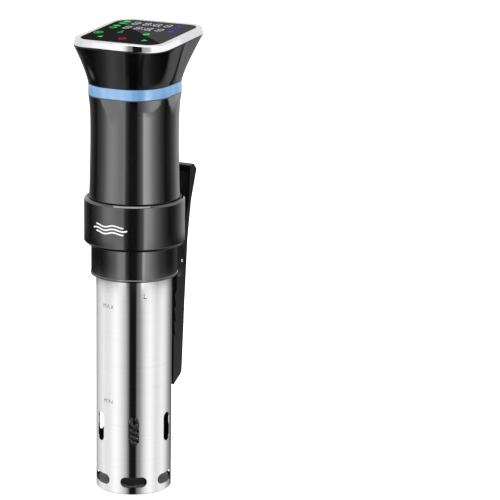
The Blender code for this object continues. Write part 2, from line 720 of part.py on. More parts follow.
def sleeve():
    """Make the steel sleeve with its tall and wide slots and the hole for the detent stud."""
    inner = SLEEVE_R - SLEEVE_WALL
    profile = [(inner, GAP), (SLEEVE_R, GAP), (SLEEVE_R, SLEEVE_TOP), (inner, SLEEVE_TOP)]
    tube = turned("sleeve", profile, "brushed_steel", 42)
    plugs = []
    for bearings, (width, low, high) in ((TALL_SLOT_BEARINGS, TALL_SLOT), (WIDE_SLOT_BEARINGS, WIDE_SLOT)):
        for bearing in bearings:
            plugs.append(slot_cutter(bearing, width, low, high, inner - 4.0 * MM, SLEEVE_R + 2.0 * MM))
    plugs.append(rod_mesh([(1.3 * MM, inner - 2.0 * MM), (1.3 * MM, SLEEVE_R + 2.0 * MM)], 12, stud_matrix()))
    boolean(tube, cutter("sleeve_slots", join_meshes(plugs)))


def stud_matrix():
    """Return the frame of the detent stud, whose Z axis points out of the sleeve."""
    return bearing_matrix(STUD_BEARING, STUD_Z) @ Matrix.Rotation(math.radians(90.0), 4, "X")


def sleeve_stud():
    """Make the domed stud whose inner end clicks past the bulkhead's skirt."""
    face = SLEEVE_R + 0.12 * MM
    stations = [(1.0 * MM, SLEEVE_R - SLEEVE_WALL - 0.25 * MM), (1.0 * MM, face), (1.8 * MM, face),
                (1.65 * MM, face + 0.4 * MM), (1.1 * MM, face + 0.75 * MM), (0.4 * MM, face + 0.9 * MM)]
    rod("sleeve_stud", stations, "chrome", 12, stud_matrix())


def end_cap():
    """Make the cap in the sleeve's lower end, with a ring of intake holes and a solid middle."""
    edge = SLEEVE_R - SLEEVE_WALL - GAP
    cap = rod("end_cap", [(edge - 0.6 * MM, 0.0), (edge, 0.6 * MM), (edge, CAP_TOP)], "satin_black", 36)
    holes = []
    for k in range(8):
        spot = Matrix.Translation(bearing_point(22.5 + 45.0 * k, 17.0 * MM))
        holes.append(rod_mesh([(4.0 * MM, -1.0 * MM), (4.0 * MM, CAP_TOP + 1.0 * MM)], 10, spot))
    boolean(cap, cutter("intake_holes", join_meshes(holes)))


# ---------------------------------------------------------------- clamp

def grip_bush():
    """Make the split bush that grips the collar and that the ring turns on."""
    inner = COLLAR_R + 0.55 * MM
    profile = [
        (inner, RING_BOTTOM + 0.5 * MM), (36.6 * MM, RING_BOTTOM + 0.5 * MM), (36.6 * MM, 201.3 * MM),
        (35.6 * MM, 201.3 * MM), (35.6 * MM, 234.9 * MM), (36.6 * MM, 234.9 * MM), (36.6 * MM, 235.8 * MM),
        (inner, 235.8 * MM),
    ]
    bush = turned("grip_bush", profile, "satin_black")
    slit = box_mesh((-1.5 * MM, 30.0 * MM, 190.0 * MM), (1.5 * MM, 40.0 * MM, 245.0 * MM))
    boolean(bush, cutter("bush_slit", slit))


def clamp_ring():
    """Make the outer clamp ring, with seats for the bush's two lips and holes for the bracket."""
    inner = 35.9 * MM
    seat = 36.9 * MM
    profile = [
        (seat, RING_BOTTOM), (RING_R - 1.9 * MM, RING_BOTTOM), (RING_R - 0.6 * MM, RING_BOTTOM + 0.7 * MM),
        (RING_R, RING_BOTTOM + 2.2 * MM), (RING_R, RING_TOP - 1.4 * MM),
        (RING_R - 0.4 * MM, RING_TOP - 0.4 * MM),
        (RING_R - 1.3 * MM, RING_TOP), (seat, RING_TOP), (seat, 234.6 * MM), (inner, 234.6 * MM),
        (inner, 201.6 * MM), (seat, 201.6 * MM),
    ]
    ring = turned("clamp_ring", profile, "gloss_black")
    boolean(ring, bracket_hole_cutter("ring_screw_holes", 1.3 * MM, 37.6 * MM))


def bracket_hole_cutter(name, radius, start):
    """Make a cutter for the bracket's two screw holes, from a distance behind the axis outwards."""
    holes = []
    for height in BRACKET_SCREWS:
        spot = Matrix.Translation((0.0, 0.0, height)) @ Matrix.Rotation(math.radians(-90.0), 4, "X")
        holes.append(rod_mesh([(radius, start), (radius, 60.0 * MM)], 12, spot))
    return cutter(name, join_meshes(holes))


def clip_bracket():
    """Make the bracket behind the ring: a plate with two ears for the lever's pin."""
    rings = []
    plate = [(-EAR_OUTER, 36.0 * MM), (EAR_OUTER, 36.0 * MM), (EAR_OUTER, 43.0 * MM), (-EAR_OUTER, 43.0 * MM)]
    for height in (RING_BOTTOM + 2.4 * MM, RING_TOP - 1.6 * MM):
        rings.append([Vector((x, y, height)) for x, y in plate])
    bracket = add_object("clip_bracket", skin(rings), "gloss_black")
    round_seat = rod_mesh([(RING_R + GAP, 190.0 * MM), (RING_R + GAP, 245.0 * MM)], 96)
    boolean(bracket, cutter("bracket_seat", round_seat))
    drop = box_mesh((-EAR_OUTER, 40.1 * MM, 165.0 * MM), (EAR_OUTER, 43.0 * MM, RING_BOTTOM + 5.0 * MM))
    boolean(bracket, cutter("bracket_tail", drop), "UNION")
    outline = [
        (40.1 * MM, 165.0 * MM), (44.0 * MM, 163.4 * MM), (53.0 * MM, 169.0 * MM), (53.6 * MM, 176.0 * MM),
        (52.0 * MM, 184.0 * MM), (46.5 * MM, 193.5 * MM), (40.1 * MM, 199.0 * MM),
    ]
    for name, low, high in (("left_ear", -EAR_OUTER, -EAR_INNER), ("right_ear", EAR_INNER, EAR_OUTER)):
        boolean(bracket, cutter(name, prism_mesh(outline, low, high)), "UNION")
    pin_hole = rod_mesh([(PIN_R + 0.15 * MM, -20.0 * MM), (PIN_R + 0.15 * MM, 20.0 * MM)], 16, pin_matrix())
    boolean(bracket, cutter("ear_pin_hole", pin_hole))
    boolean(bracket, bracket_hole_cutter("bracket_screw_holes", 1.8 * MM, 30.0 * MM))
    for number, height in enumerate(BRACKET_SCREWS, 1):
        spot = Matrix.Translation((0.0, 0.0, height)) @ Matrix.Rotation(math.radians(-90.0), 4, "X")
        screw = [(1.0 * MM, 38.0 * MM), (1.0 * MM, 43.3 * MM), (2.8 * MM, 43.3 * MM), (2.4 * MM, 45.0 * MM)]
        rod("bracket_screw_" + str(number), screw, "plain_steel", 12, spot)


def pin_matrix():
    """Return the frame of the lever's pin, whose Z axis runs along X."""
    return Matrix.Translation(PIVOT) @ Matrix.Rotation(math.radians(90.0), 4, "Y")


def lever_outer():
    """Return the (y, z) points down the lever's outer back face, from its top to its toe."""
    return [
        (71.5, 251.0), (76.0, 246.0), (67.4, 222.5), (64.2, 206.0), (61.6, 190.0), (60.4, 175.0),
        (57.5, 140.0), (55.3, 107.0), (53.6, 82.0), (51.0, 79.3), (40.6, 73.6),
    ]


def lever_inner():
    """Return the (y, z) points up the free edge of the lever's side walls, from toe to top."""
    return [
        (39.5, 75.0), (39.8, 113.5), (42.2, 115.5), (40.0, 125.0), (42.6, 127.0), (40.3, 137.0),
        (43.0, 139.0), (41.0, 149.0), (44.2, 152.0), (44.0, 170.0), (43.7, 176.0), (44.6, 180.5),
        (50.0, 190.0), (57.0, 204.0), (63.0, 222.5), (65.0, 250.5),
    ]


def clip_lever():
    """Make the lever: a channel open towards the body, with toothed jaw edges below its pivot."""
    outline = [(y * MM, z * MM) for y, z in lever_inner() + lever_outer()]
    work = prism_mesh(outline, -LEVER_HALF, LEVER_HALF)
    lever = add_object("clip_lever", work, "satin_black", PIVOT, 25.0)
    web = 2.4
    hollow = [(30.0, 71.0), (52.6 - 1.2, 81.5)]
    for y, z in reversed(lever_outer()[2:9]):
        hollow.append((y - web, z))
    hollow += [(72.4, 243.2), (69.4, 248.4), (30.0, 248.4)]
    room = prism_mesh([(y * MM, z * MM) for y, z in hollow], LEVER_WALL - LEVER_HALF, LEVER_HALF - LEVER_WALL)
    boolean(lever, cutter("lever_hollow", room))
    hole = rod_mesh([(PIN_R + 0.15 * MM, -20.0 * MM), (PIN_R + 0.15 * MM, 20.0 * MM)], 16, pin_matrix())
    boolean(lever, cutter("lever_pin_hole", hole))


def clip_pin():
    """Make the steel pin through the ears, the lever and the spring."""
    length = EAR_OUTER + 0.3 * MM
    rod("clip_pin", [(PIN_R - 0.3 * MM, -length), (PIN_R, 0.3 * MM - length), (PIN_R, length - 0.3 * MM),
                     (PIN_R - 0.3 * MM, length)], "chrome", 16, pin_matrix())


def clip_spring():
    """Make the torsion spring: coils round the pin, one leg on the bracket, one in the lever."""
    turns = 6.5
    steps = 52
    radius = 3.0 * MM
    half = 6.5 * MM
    lift = pin_matrix()
    points = []
    for k in range(steps + 1):
        share = k / steps
        angle = 2.0 * math.pi * (turns * share - 0.25)
        coil = Vector((radius * math.cos(angle), radius * math.sin(angle), mix(-half, half, share)))
        points.append(lift @ coil)
    first = [Vector((-half, 44.3 * MM, 192.0 * MM)), Vector((-half, 44.4 * MM, 184.0 * MM))]
    last = [Vector((half, 51.2 * MM, 182.0 * MM)), Vector((half, 57.0 * MM, 196.0 * MM))]
    add_object("clip_spring", tube_mesh(first + points + last, 0.6 * MM, 4), "plain_steel")


def clear_scene():
    """Remove every object that the file opened with."""
    for obj in list(bpy.data.objects):
        bpy.data.objects.remove(obj, do_unlink=True)


def build():
    """Make every piece of the circulator."""
    clear_scene()
    touch_glass()
    bezel_ring()
    glass_gasket()
    touch_electronics()
    panel_frame()
    head_shell()
    light_band()
    grip_shell()
    cord_inlet()
    power_electronics()
    base_collar()
    motor_group()
    heater_base()
    base_fasteners()
    seals()
    shaft_guide()
    heater_coil()
    probes()
    drive_train()
    sleeve()
    sleeve_stud()
    end_cap()
    grip_bush()
    clamp_ring()
    clip_bracket()
    clip_lever()
    clip_pin()
    clip_spring()


build()
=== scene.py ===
"""Looks of the sous vide circulator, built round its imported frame.

The frame's own axes are used throughout: +Z up, the front towards -Y and the clamp towards +Y.
Lengths are in metres.
"""
from __future__ import annotations

import logging
import math
from collections.abc import Callable, Sequence
from dataclasses import dataclass, field
from enum import Enum

import bmesh
import bpy
from mathutils import Matrix, Vector


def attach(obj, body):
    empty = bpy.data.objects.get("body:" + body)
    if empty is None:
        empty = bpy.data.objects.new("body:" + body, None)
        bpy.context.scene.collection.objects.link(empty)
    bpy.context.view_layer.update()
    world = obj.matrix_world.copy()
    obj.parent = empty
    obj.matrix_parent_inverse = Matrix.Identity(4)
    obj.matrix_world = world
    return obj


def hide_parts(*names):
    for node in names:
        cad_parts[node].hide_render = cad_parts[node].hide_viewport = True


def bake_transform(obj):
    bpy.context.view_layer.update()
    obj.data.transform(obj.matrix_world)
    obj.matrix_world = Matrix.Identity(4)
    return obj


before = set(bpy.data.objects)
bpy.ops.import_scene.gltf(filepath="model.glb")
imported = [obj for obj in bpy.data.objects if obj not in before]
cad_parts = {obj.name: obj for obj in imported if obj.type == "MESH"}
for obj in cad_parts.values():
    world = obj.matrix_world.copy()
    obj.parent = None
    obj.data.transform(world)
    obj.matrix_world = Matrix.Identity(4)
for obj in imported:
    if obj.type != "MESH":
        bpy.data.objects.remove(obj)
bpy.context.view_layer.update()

MM = 0.001
FULL_TURN = 2.0 * math.pi
LOG = logging.getLogger("circulator")

Point = tuple[float, float]
Corner = tuple[float, float, float]


class Slot(Enum):
    """The record's material slots."""

    GLOSS_BLACK = "gloss_black"
    SATIN_BLACK = "satin_black"
    BLACK_GLASS = "black_glass"
    CHROME = "chrome"
    BRUSHED_STEEL = "brushed_steel"
    PLAIN_STEEL = "plain_steel"
    ALUMINIUM = "aluminium"
    BRASS = "brass"
    BLUE_LIGHT = "blue_light"
    CIRCUIT_BOARD = "circuit_board"
    PALE_PLASTIC = "pale_plastic"
    GREY_RUBBER = "grey_rubber"


class Body(Enum):
    """The frame's moving bodies."""

    HOUSING = "housing"
    ROTOR = "rotor"
    SLEEVE = "sleeve"
    BUSH = "slide_bush"
    RING = "ring"
    LEVER = "lever"


# ---------------------------------------------------------------- node building

class Tree:
    """A short way to add and join the nodes of a shader or geometry tree."""

    def __init__(self, tree: bpy.types.NodeTree) -> None:
        """Keep the tree that nodes are added to."""
        self.tree = tree

    def node(self, kind: str, settings: dict | None = None, **inputs) -> bpy.types.Node:
        """Add a node.

        Args:
            kind: The node's type name.
            settings: Values for the node's own properties.
            inputs: Values or sockets for its inputs, named with underscores for spaces, or
                in0, in1 and so on for an input's place.

        Returns:
            The new node.
        """
        made = self.tree.nodes.new(kind)
        for name, value in (settings or {}).items():
            setattr(made, name, value)
        self.feed(made, **inputs)
        return made

    def feed(self, made: bpy.types.Node, **inputs) -> None:
        """Set or link a node's inputs, named as for a new node."""
        for name, value in inputs.items():
            place = name[2:]
            spot = int(place) if name.startswith("in") and place.isdigit() else name.replace("_", " ")
            socket = made.inputs[spot]
            if isinstance(value, bpy.types.NodeSocket):
                self.tree.links.new(value, socket)
            else:
                socket.default_value = value

    def math(self, operation: str, first, second=0.0, third=0.0) -> bpy.types.NodeSocket:
        """Add a Math node and return its result socket."""
        made = self.node("ShaderNodeMath", {"operation": operation}, in0=first, in1=second, in2=third)
        return made.outputs[0]

    def span(self, value, low: float, high: float, to_low: float, to_high: float) -> bpy.types.NodeSocket:
        """Add a clamped Map Range node and return its result socket."""
        made = self.node("ShaderNodeMapRange", None, Value=value, From_Min=low, From_Max=high,
                         To_Min=to_low, To_Max=to_high)
        return made.outputs[0]

    def blend(self, share, first, second) -> bpy.types.NodeSocket:
        """Add a colour mix and return its result socket."""
        made = self.tree.nodes.new("ShaderNodeMix")
        made.data_type = "RGBA"
        for place, value in ((0, share), (6, first), (7, second)):
            if isinstance(value, bpy.types.NodeSocket):
                self.tree.links.new(value, made.inputs[place])
            else:
                made.inputs[place].default_value = value
        return made.outputs[2]

    def place(self, scale: Sequence[float]) -> bpy.types.NodeSocket:
        """Return the object coordinates, scaled along each axis."""
        coordinates = self.node("ShaderNodeTexCoord")
        made = self.node("ShaderNodeVectorMath", {"operation": "MULTIPLY"},
                         in0=coordinates.outputs["Object"], in1=tuple(scale))
        return made.outputs[0]


def shade_group(name: str, sockets: dict[str, float], outputs: Sequence[str],
                fill: Callable[[Tree, bpy.types.Node, bpy.types.Node], None]) -> bpy.types.NodeTree:
    """Build a shader node group once.

    Args:
        name: The group's name.
        sockets: Each float input's name and default.
        outputs: The float outputs' names.
        fill: A function that adds the nodes between the group's input and output nodes.

    Returns:
        The group's tree.
    """
    if name in bpy.data.node_groups:
        return bpy.data.node_groups[name]
    tree = bpy.data.node_groups.new(name, "ShaderNodeTree")
    for label, value in sockets.items():
        tree.interface.new_socket(label, in_out="INPUT", socket_type="NodeSocketFloat").default_value = value
    for label in outputs:
        tree.interface.new_socket(label, in_out="OUTPUT", socket_type="NodeSocketFloat")
    kit = Tree(tree)
    fill(kit, kit.node("NodeGroupInput"), kit.node("NodeGroupOutput"))
    return tree


def fill_mottle(kit: Tree, start: bpy.types.Node, end: bpy.types.Node) -> None:
    """Fill the group that gives broad, soft handling marks and fine dust."""
    spread = kit.node("ShaderNodeTexNoise", None, Vector=kit.place((1, 1, 1)), Scale=start.outputs["Scale"],
                      Detail=5.0, Roughness=0.6)
    patch = kit.span(spread.outputs["Fac"], 0.35, 0.68, 0.0, 1.0)
    dust = kit.node("ShaderNodeTexNoise", None, Vector=kit.place((1, 1, 1)), Scale=2600.0, Detail=2.0)
    speck = kit.span(dust.outputs["Fac"], 0.62, 0.75, 0.0, 1.0)
    kit.feed(end, Marks=kit.math("MULTIPLY", patch, start.outputs["Amount"]))
    kit.feed(end, Specks=kit.math("MULTIPLY", speck, start.outputs["Dust"]))


def mottle_group() -> bpy.types.NodeTree:
    """Return the group for handling marks and dust."""
    return shade_group("handling_marks", {"Scale": 22.0, "Amount": 1.0, "Dust": 1.0}, ("Marks", "Specks"),
                       fill_mottle)


def fill_brush(kit: Tree, start: bpy.types.Node, end: bpy.types.Node) -> None:
    """Fill the group that draws brush lines running round the upright axis."""
    coarse = kit.node("ShaderNodeTexNoise", None, Vector=kit.place((14, 14, 1500)), Scale=1.0, Detail=4.0,
                      Roughness=0.7)
    fine = kit.node("ShaderNodeTexNoise", None, Vector=kit.place((40, 40, 5200)), Scale=1.0, Detail=2.0)
    lines = kit.math("ADD", kit.math("MULTIPLY", coarse.outputs["Fac"], 0.6),
                     kit.math("MULTIPLY", fine.outputs["Fac"], 0.4))
    kit.feed(end, Lines=kit.span(lines, 0.38, 0.62, 0.0, 1.0))
    kit.feed(end, Height=kit.math("MULTIPLY", lines, start.outputs["Depth"]))


def brush_group() -> bpy.types.NodeTree:
    """Return the group for brush lines round the axis."""
    return shade_group("brush_lines", {"Depth": 1.0}, ("Lines", "Height"), fill_brush)


def fill_grain(kit: Tree, start: bpy.types.Node, end: bpy.types.Node) -> None:
    """Fill the group that gives the fine spark-eroded grain of a moulded satin surface."""
    cells = kit.node("ShaderNodeTexVoronoi", None, Vector=kit.place((1, 1, 1)), Scale=start.outputs["Scale"])
    soft = kit.node("ShaderNodeTexNoise", None, Vector=kit.place((1, 1, 1)), Scale=start.outputs["Scale"],
                    Detail=3.0)
    height = kit.math("ADD", cells.outputs["Distance"], soft.outputs["Fac"])
    kit.feed(end, Height=kit.math("MULTIPLY", height, start.outputs["Depth"]))
    kit.feed(end, Mask=kit.span(soft.outputs["Fac"], 0.3, 0.7, 0.0, 1.0))


def grain_group() -> bpy.types.NodeTree:
    """Return the group for moulded grain."""
    return shade_group("moulded_grain", {"Scale": 1500.0, "Depth": 1.0}, ("Height", "Mask"), fill_grain)


# ---------------------------------------------------------------- finishes

WAVE_HEIGHT = 0.2 * MM
GRAIN_HEIGHT = 0.08 * MM
BRUSH_HEIGHT = 0.03 * MM
TRACK_HEIGHT = 0.05 * MM


@dataclass(frozen=True)
class Finish:
    """A surface finish: colours, gloss and the marks that make it real.

    Args:
        name: The material's name.
        slot: The record's slot it belongs to. Not used.
        colour: The main colour.
        second: The colour that marks, lines or wear blend towards.
        rough: The lowest and highest roughness over the surface.
        metallic: 1 for a metal.
        ior: The index of refraction, which sets the gloss of a plastic.
        coat: How much clear coat lies on top.
    """

    name: str
    slot: Slot
    colour: tuple[float, float, float]
    second: tuple[float, float, float]
    rough: tuple[float, float]
    metallic: float = 0.0
    ior: float = 1.5
    coat: float = 0.0

    def shader(self) -> tuple[bpy.types.Material, Tree, bpy.types.Node]:
        """Make the material with its Principled shader and constant values set."""
        material = bpy.data.materials.new(self.name)
        material.use_nodes = True
        shader = material.node_tree.nodes["Principled BSDF"]
        kit = Tree(material.node_tree)
        kit.feed(shader, Metallic=self.metallic, IOR=self.ior, Coat_Weight=self.coat, Coat_IOR=1.6,
                 Coat_Roughness=0.04)
        return material, kit, shader

    def wire(self, kit: Tree, shader: bpy.types.Node) -> None:
        """Join the surface detail to the shader. Each kind of finish does its own."""
        raise NotImplementedError

    def material(self) -> bpy.types.Material:
        """Return the finish's material, made on first use."""
        if self.name in bpy.data.materials:
            return bpy.data.materials[self.name]
        material, kit, shader = self.shader()
        self.wire(kit, shader)
        return material

    def ends(self) -> tuple[tuple[float, ...], tuple[float, ...]]:
        """Return the two colours with an alpha of one."""
        return (*self.colour, 1.0), (*self.second, 1.0)

    def bump(self, kit: Tree, shader: bpy.types.Node, height: bpy.types.NodeSocket, strength: float,
             distance: float) -> None:
        """Feed a height through a Bump node to the shader's normal."""
        made = kit.node("ShaderNodeBump", None, Height=height, Strength=strength, Distance=distance)
        kit.feed(shader, Normal=made.outputs["Normal"])

    def core(self, kit: Tree, shader: bpy.types.Node, radius: float, shade: float, dull: float = 0.6) -> None:
        """Paint what lies within a radius of the axis a dull dark grey, as painted shade.

        Args:
            kit: The material's nodes.
            shader: Its shader, with the colour and roughness already joined.
            radius: The core's radius.
            shade: The core's grey.
            dull: The core's roughness.
        """
        away = kit.node("ShaderNodeVectorMath", {"operation": "LENGTH"}, in0=kit.place((1, 1, 0)))
        outside = kit.math("GREATER_THAN", away.outputs["Value"], radius)
        outer = shader.inputs["Base Color"].links[0].from_socket
        rough = shader.inputs["Roughness"].links[0].from_socket
        grey = (shade, shade, shade, 1.0)
        kit.feed(shader, Base_Color=kit.blend(outside, grey, outer))
        kit.feed(shader, Roughness=kit.span(outside, 0.0, 1.0, dull, rough))


@dataclass(frozen=True)
class Polished(Finish):
    """A glossy moulding or polished metal, with faint handling marks and a little dust.

    Args:
        marks: How fine the handling marks are.
        wave: How strong the moulded wave is.
    """

    marks: float = 22.0
    wave: float = 0.05

    def wire(self, kit: Tree, shader: bpy.types.Node) -> None:
        """Blend colour and roughness by the marks, and add a very slight moulded wave."""
        group = kit.node("ShaderNodeGroup", {"node_tree": mottle_group()}, Scale=self.marks)
        low, high = self.ends()
        marks = group.outputs["Marks"]
        kit.feed(shader, Base_Color=kit.blend(group.outputs["Specks"], low, high))
        kit.feed(shader, Roughness=kit.span(marks, 0.0, 1.0, *self.rough))
        wave = kit.node("ShaderNodeTexNoise", None, Vector=kit.place((1, 1, 1)), Scale=60.0, Detail=1.0)
        self.bump(kit, shader, wave.outputs["Fac"], self.wave, WAVE_HEIGHT)


@dataclass(frozen=True)
class Moulded(Finish):
    """A satin plastic or rubber with a fine moulded grain.

    Args:
        grain: How fine the grain is.
        depth: How strong it is.
    """

    grain: float = 1500.0
    depth: float = 0.25

    def wire(self, kit: Tree, shader: bpy.types.Node) -> None:
        """Grain the surface, and vary its colour and roughness with the grain and handling."""
        grain = kit.node("ShaderNodeGroup", {"node_tree": grain_group()}, Scale=self.grain)
        group = kit.node("ShaderNodeGroup", {"node_tree": mottle_group()}, Scale=30.0, Dust=0.6)
        low, high = self.ends()
        share = kit.math("MULTIPLY", grain.outputs["Mask"], 0.5)
        share = kit.math("ADD", share, group.outputs["Specks"])
        marks = group.outputs["Marks"]
        kit.feed(shader, Base_Color=kit.blend(share, low, high))
        kit.feed(shader, Roughness=kit.span(marks, 0.0, 1.0, *self.rough))
        self.bump(kit, shader, grain.outputs["Height"], self.depth, GRAIN_HEIGHT)


@dataclass(frozen=True)
class Brushed(Finish):
    """A metal brushed round the upright axis.

    Args:
        depth: How strong the brush lines are.
    """

    depth: float = 0.1

    def wire(self, kit: Tree, shader: bpy.types.Node) -> None:
        """Draw the brush lines in colour, roughness and height."""
        group = kit.node("ShaderNodeGroup", {"node_tree": brush_group()})
        low, high = self.ends()
        lines = group.outputs["Lines"]
        kit.feed(shader, Base_Color=kit.blend(lines, low, high))
        kit.feed(shader, Roughness=kit.span(lines, 0.0, 1.0, *self.rough))
        self.bump(kit, shader, group.outputs["Height"], self.depth, BRUSH_HEIGHT)


@dataclass(frozen=True)
class TubeSteel(Brushed):
    """Brushed tube steel whose inner face is dull, with painted shade making it dark.

    Args:
        inner_radius: The radius below which the face is the inner one.
        stain: The grey of the painted shade on the inner face.
    """

    inner_radius: float = 29.6 * MM
    stain: float = 0.012

    def wire(self, kit: Tree, shader: bpy.types.Node) -> None:
        """Brush the outside, then paint what lies within the inner radius dark as shade, and roughen it."""
        super().wire(kit, shader)
        # Painted shade: the inner face is coloured near black, standing for the shade inside the tube.
        self.core(kit, shader, self.inner_radius, self.stain)


@dataclass(frozen=True)
class CapPlastic(Moulded):
    """Grey plastic with painted shadow darkening the recess in the middle.

    Args:
        recess: The recess's radius.
        shadow: The grey of the painted shadow in the recess.
    """

    recess: float = 17.5 * MM
    shadow: float = 0.003

    def wire(self, kit: Tree, shader: bpy.types.Node) -> None:
        """Grain the plastic, then paint the recess dark as shadow."""
        super().wire(kit, shader)
        # Painted shadow: the recess is coloured near black, standing for the shade in the opening.
        self.core(kit, shader, self.recess, self.shadow)


@dataclass(frozen=True)
class Lit(Finish):
    """A printed symbol or diffuser that is lit from behind.

    Args:
        glow: The light's strength.
        lamps: How many lamps round the axis the glow peaks over, or 0 for none.
    """

    glow: float = 1.0
    lamps: int = 0

    def wire(self, kit: Tree, shader: bpy.types.Node) -> None:
        """Light the surface a little unevenly, as a lamp behind a print does."""
        kit.feed(shader, Emission_Strength=self.glow)
        low, high = self.ends()
        cloud = kit.node("ShaderNodeTexNoise", None, Vector=kit.place((1, 1, 1)), Scale=160.0, Detail=2.0)
        share = kit.span(cloud.outputs["Fac"], 0.35, 0.65, 0.0, 1.0)
        if self.lamps:
            split = kit.node("ShaderNodeSeparateXYZ", None, Vector=kit.place((1, 1, 1)))
            turn = kit.math("ARCTAN2", split.outputs["Y"], split.outputs["X"])
            peaks = kit.math("COSINE", kit.math("MULTIPLY", turn, float(self.lamps)))
            share = kit.math("ADD", kit.math("MULTIPLY", share, 0.5), kit.span(peaks, -1.0, 1.0, 0.0, 0.5))
        colour = kit.blend(share, low, high)
        kit.feed(shader, Base_Color=colour)
        kit.feed(shader, Emission_Color=colour)
        kit.feed(shader, Roughness=kit.span(share, 0.0, 1.0, *self.rough))


@dataclass(frozen=True)
class TwoToneGlass(Finish):
    """The touch panel: black behind the glass, with a paler corner across a diagonal that is a painted
    reflection.

    Args:
        centre: A point on the diagonal.
        across: The direction from the black part to the pale part.
        edge: Half the width over which the black and the painted reflection blend.
    """

    centre: tuple[float, float, float] = (0.0, 0.0, 0.0)
    across: tuple[float, float, float] = (1.0, 0.0, 0.0)
    edge: float = 0.1 * MM

    def wire(self, kit: Tree, shader: bpy.types.Node) -> None:
        """Paint the black and the paler corner of painted reflection, with handling marks in the gloss."""
        place = kit.place((1, 1, 1))
        shift = kit.node("ShaderNodeVectorMath", {"operation": "SUBTRACT"}, in0=place, in1=self.centre)
        side = kit.node("ShaderNodeVectorMath", {"operation": "DOT_PRODUCT"}, in0=shift.outputs[0],
                        in1=self.across)
        share = kit.span(side.outputs["Value"], -self.edge, self.edge, 0.0, 1.0)
        low, high = self.ends()
        # Painted reflection: the second colour lightens the corner past the diagonal.
        kit.feed(shader, Base_Color=kit.blend(share, low, high))
        marks = kit.node("ShaderNodeGroup", {"node_tree": mottle_group()}, Scale=45.0).outputs["Marks"]
        kit.feed(shader, Roughness=kit.span(marks, 0.0, 1.0, *self.rough))


@dataclass(frozen=True)
class Board(Finish):
    """A circuit board: solder mask over copper tracks."""

    def wire(self, kit: Tree, shader: bpy.types.Node) -> None:
        """Draw tracks as thin lines of a brick pattern, standing a little proud."""
        tracks = kit.node("ShaderNodeTexBrick", {"offset": 0.37, "squash": 2.2}, Vector=kit.place((1, 1, 1)),
                          Scale=170.0, Mortar_Size=0.09, Color1=(0, 0, 0, 1), Color2=(0, 0, 0, 1),
                          Mortar=(1, 1, 1, 1))
        low, high = self.ends()
        share = kit.math("MULTIPLY", tracks.outputs["Color"], 0.8)
        kit.feed(shader, Base_Color=kit.blend(share, low, high))
        kit.feed(shader, Roughness=kit.span(share, 0.0, 1.0, *self.rough))
        self.bump(kit, shader, share, 0.3, TRACK_HEIGHT)


JET = (0.0012, 0.0012, 0.0013)
DUSTY_JET = (0.008, 0.008, 0.0085)
PRINT_ROUGH = (0.2, 0.3)
PRINT_IOR = 1.05
SYMBOL_GLOW = 0.4
SEGMENT_GLOW = 0.5
BAND_LAMPS = 24

GLOSS_BLACK = Polished("gloss_black_moulding", Slot.GLOSS_BLACK, JET, DUSTY_JET, (0.05, 0.1), ior=2.0,
                       coat=0.6)
HEAD_BLACK = Polished("gloss_black_head", Slot.GLOSS_BLACK, JET, (0.006, 0.006, 0.0065), (0.06, 0.12),
                      ior=1.42)
RING_BLACK = Polished("gloss_black_ring", Slot.GLOSS_BLACK, JET, DUSTY_JET, (0.06, 0.12), ior=1.85,
                      coat=0.4)
SATIN_BLACK = Moulded("satin_black_moulding", Slot.SATIN_BLACK, (0.008, 0.008, 0.0085),
                      (0.018, 0.018, 0.019), (0.3, 0.42))
LEVER_BLACK = Moulded("lever_black_moulding", Slot.SATIN_BLACK, (0.002, 0.002, 0.0022),
                      (0.007, 0.007, 0.0075), (0.24, 0.36), ior=1.22, depth=0.35)
CHROME = Polished("polished_chrome", Slot.CHROME, (0.84, 0.84, 0.86), (0.7, 0.7, 0.72), (0.02, 0.05),
                  metallic=1.0, wave=0.02)
SLEEVE_STEEL = TubeSteel("brushed_sleeve_steel", Slot.BRUSHED_STEEL, (0.59, 0.59, 0.59),
                         (0.63, 0.63, 0.63), (0.05, 0.09), metallic=1.0, depth=0.02)
WET_STEEL = Polished("wet_end_steel", Slot.BRUSHED_STEEL, (0.5, 0.5, 0.5), (0.34, 0.33, 0.31),
                     (0.16, 0.3), metallic=1.0, marks=60.0)
HEATER_STEEL = Polished("heater_tube_steel", Slot.BRUSHED_STEEL, (0.92, 0.92, 0.91), (0.8, 0.79, 0.77),
                        (0.5, 0.65), metallic=1.0, marks=60.0)
PLAIN_STEEL = Polished("plain_zinc_steel", Slot.PLAIN_STEEL, (0.52, 0.52, 0.52), (0.4, 0.4, 0.41),
                       (0.25, 0.4), metallic=1.0, marks=90.0)
ALUMINIUM = Polished("extruded_aluminium", Slot.ALUMINIUM, (0.66, 0.67, 0.69), (0.5, 0.5, 0.52),
                     (0.28, 0.42), metallic=1.0, marks=80.0)
BRASS = Polished("turned_brass", Slot.BRASS, (0.74, 0.53, 0.22), (0.55, 0.38, 0.15), (0.2, 0.34),
                 metallic=1.0, marks=80.0)
BAND_BLUE = Lit("light_band_blue", Slot.BLUE_LIGHT, (0.095, 0.22, 0.4), (0.12, 0.26, 0.46), (0.06, 0.12),
                ior=1.9, coat=0.6, glow=0.4, lamps=BAND_LAMPS)
GREEN_SYMBOL = Lit("green_symbol", Slot.BLACK_GLASS, (0.002, 0.3, 0.04), (0.006, 0.44, 0.07), PRINT_ROUGH,
                   ior=PRINT_IOR, glow=SYMBOL_GLOW)
RED_SYMBOL = Lit("red_symbol", Slot.BLACK_GLASS, (0.22, 0.001, 0.005), (0.34, 0.003, 0.01), PRINT_ROUGH,
                 ior=PRINT_IOR, glow=SYMBOL_GLOW)
BLUE_SYMBOL = Lit("blue_symbol", Slot.BLACK_GLASS, (0.025, 0.005, 0.4), (0.04, 0.01, 0.58), PRINT_ROUGH,
                  ior=PRINT_IOR, glow=SYMBOL_GLOW)
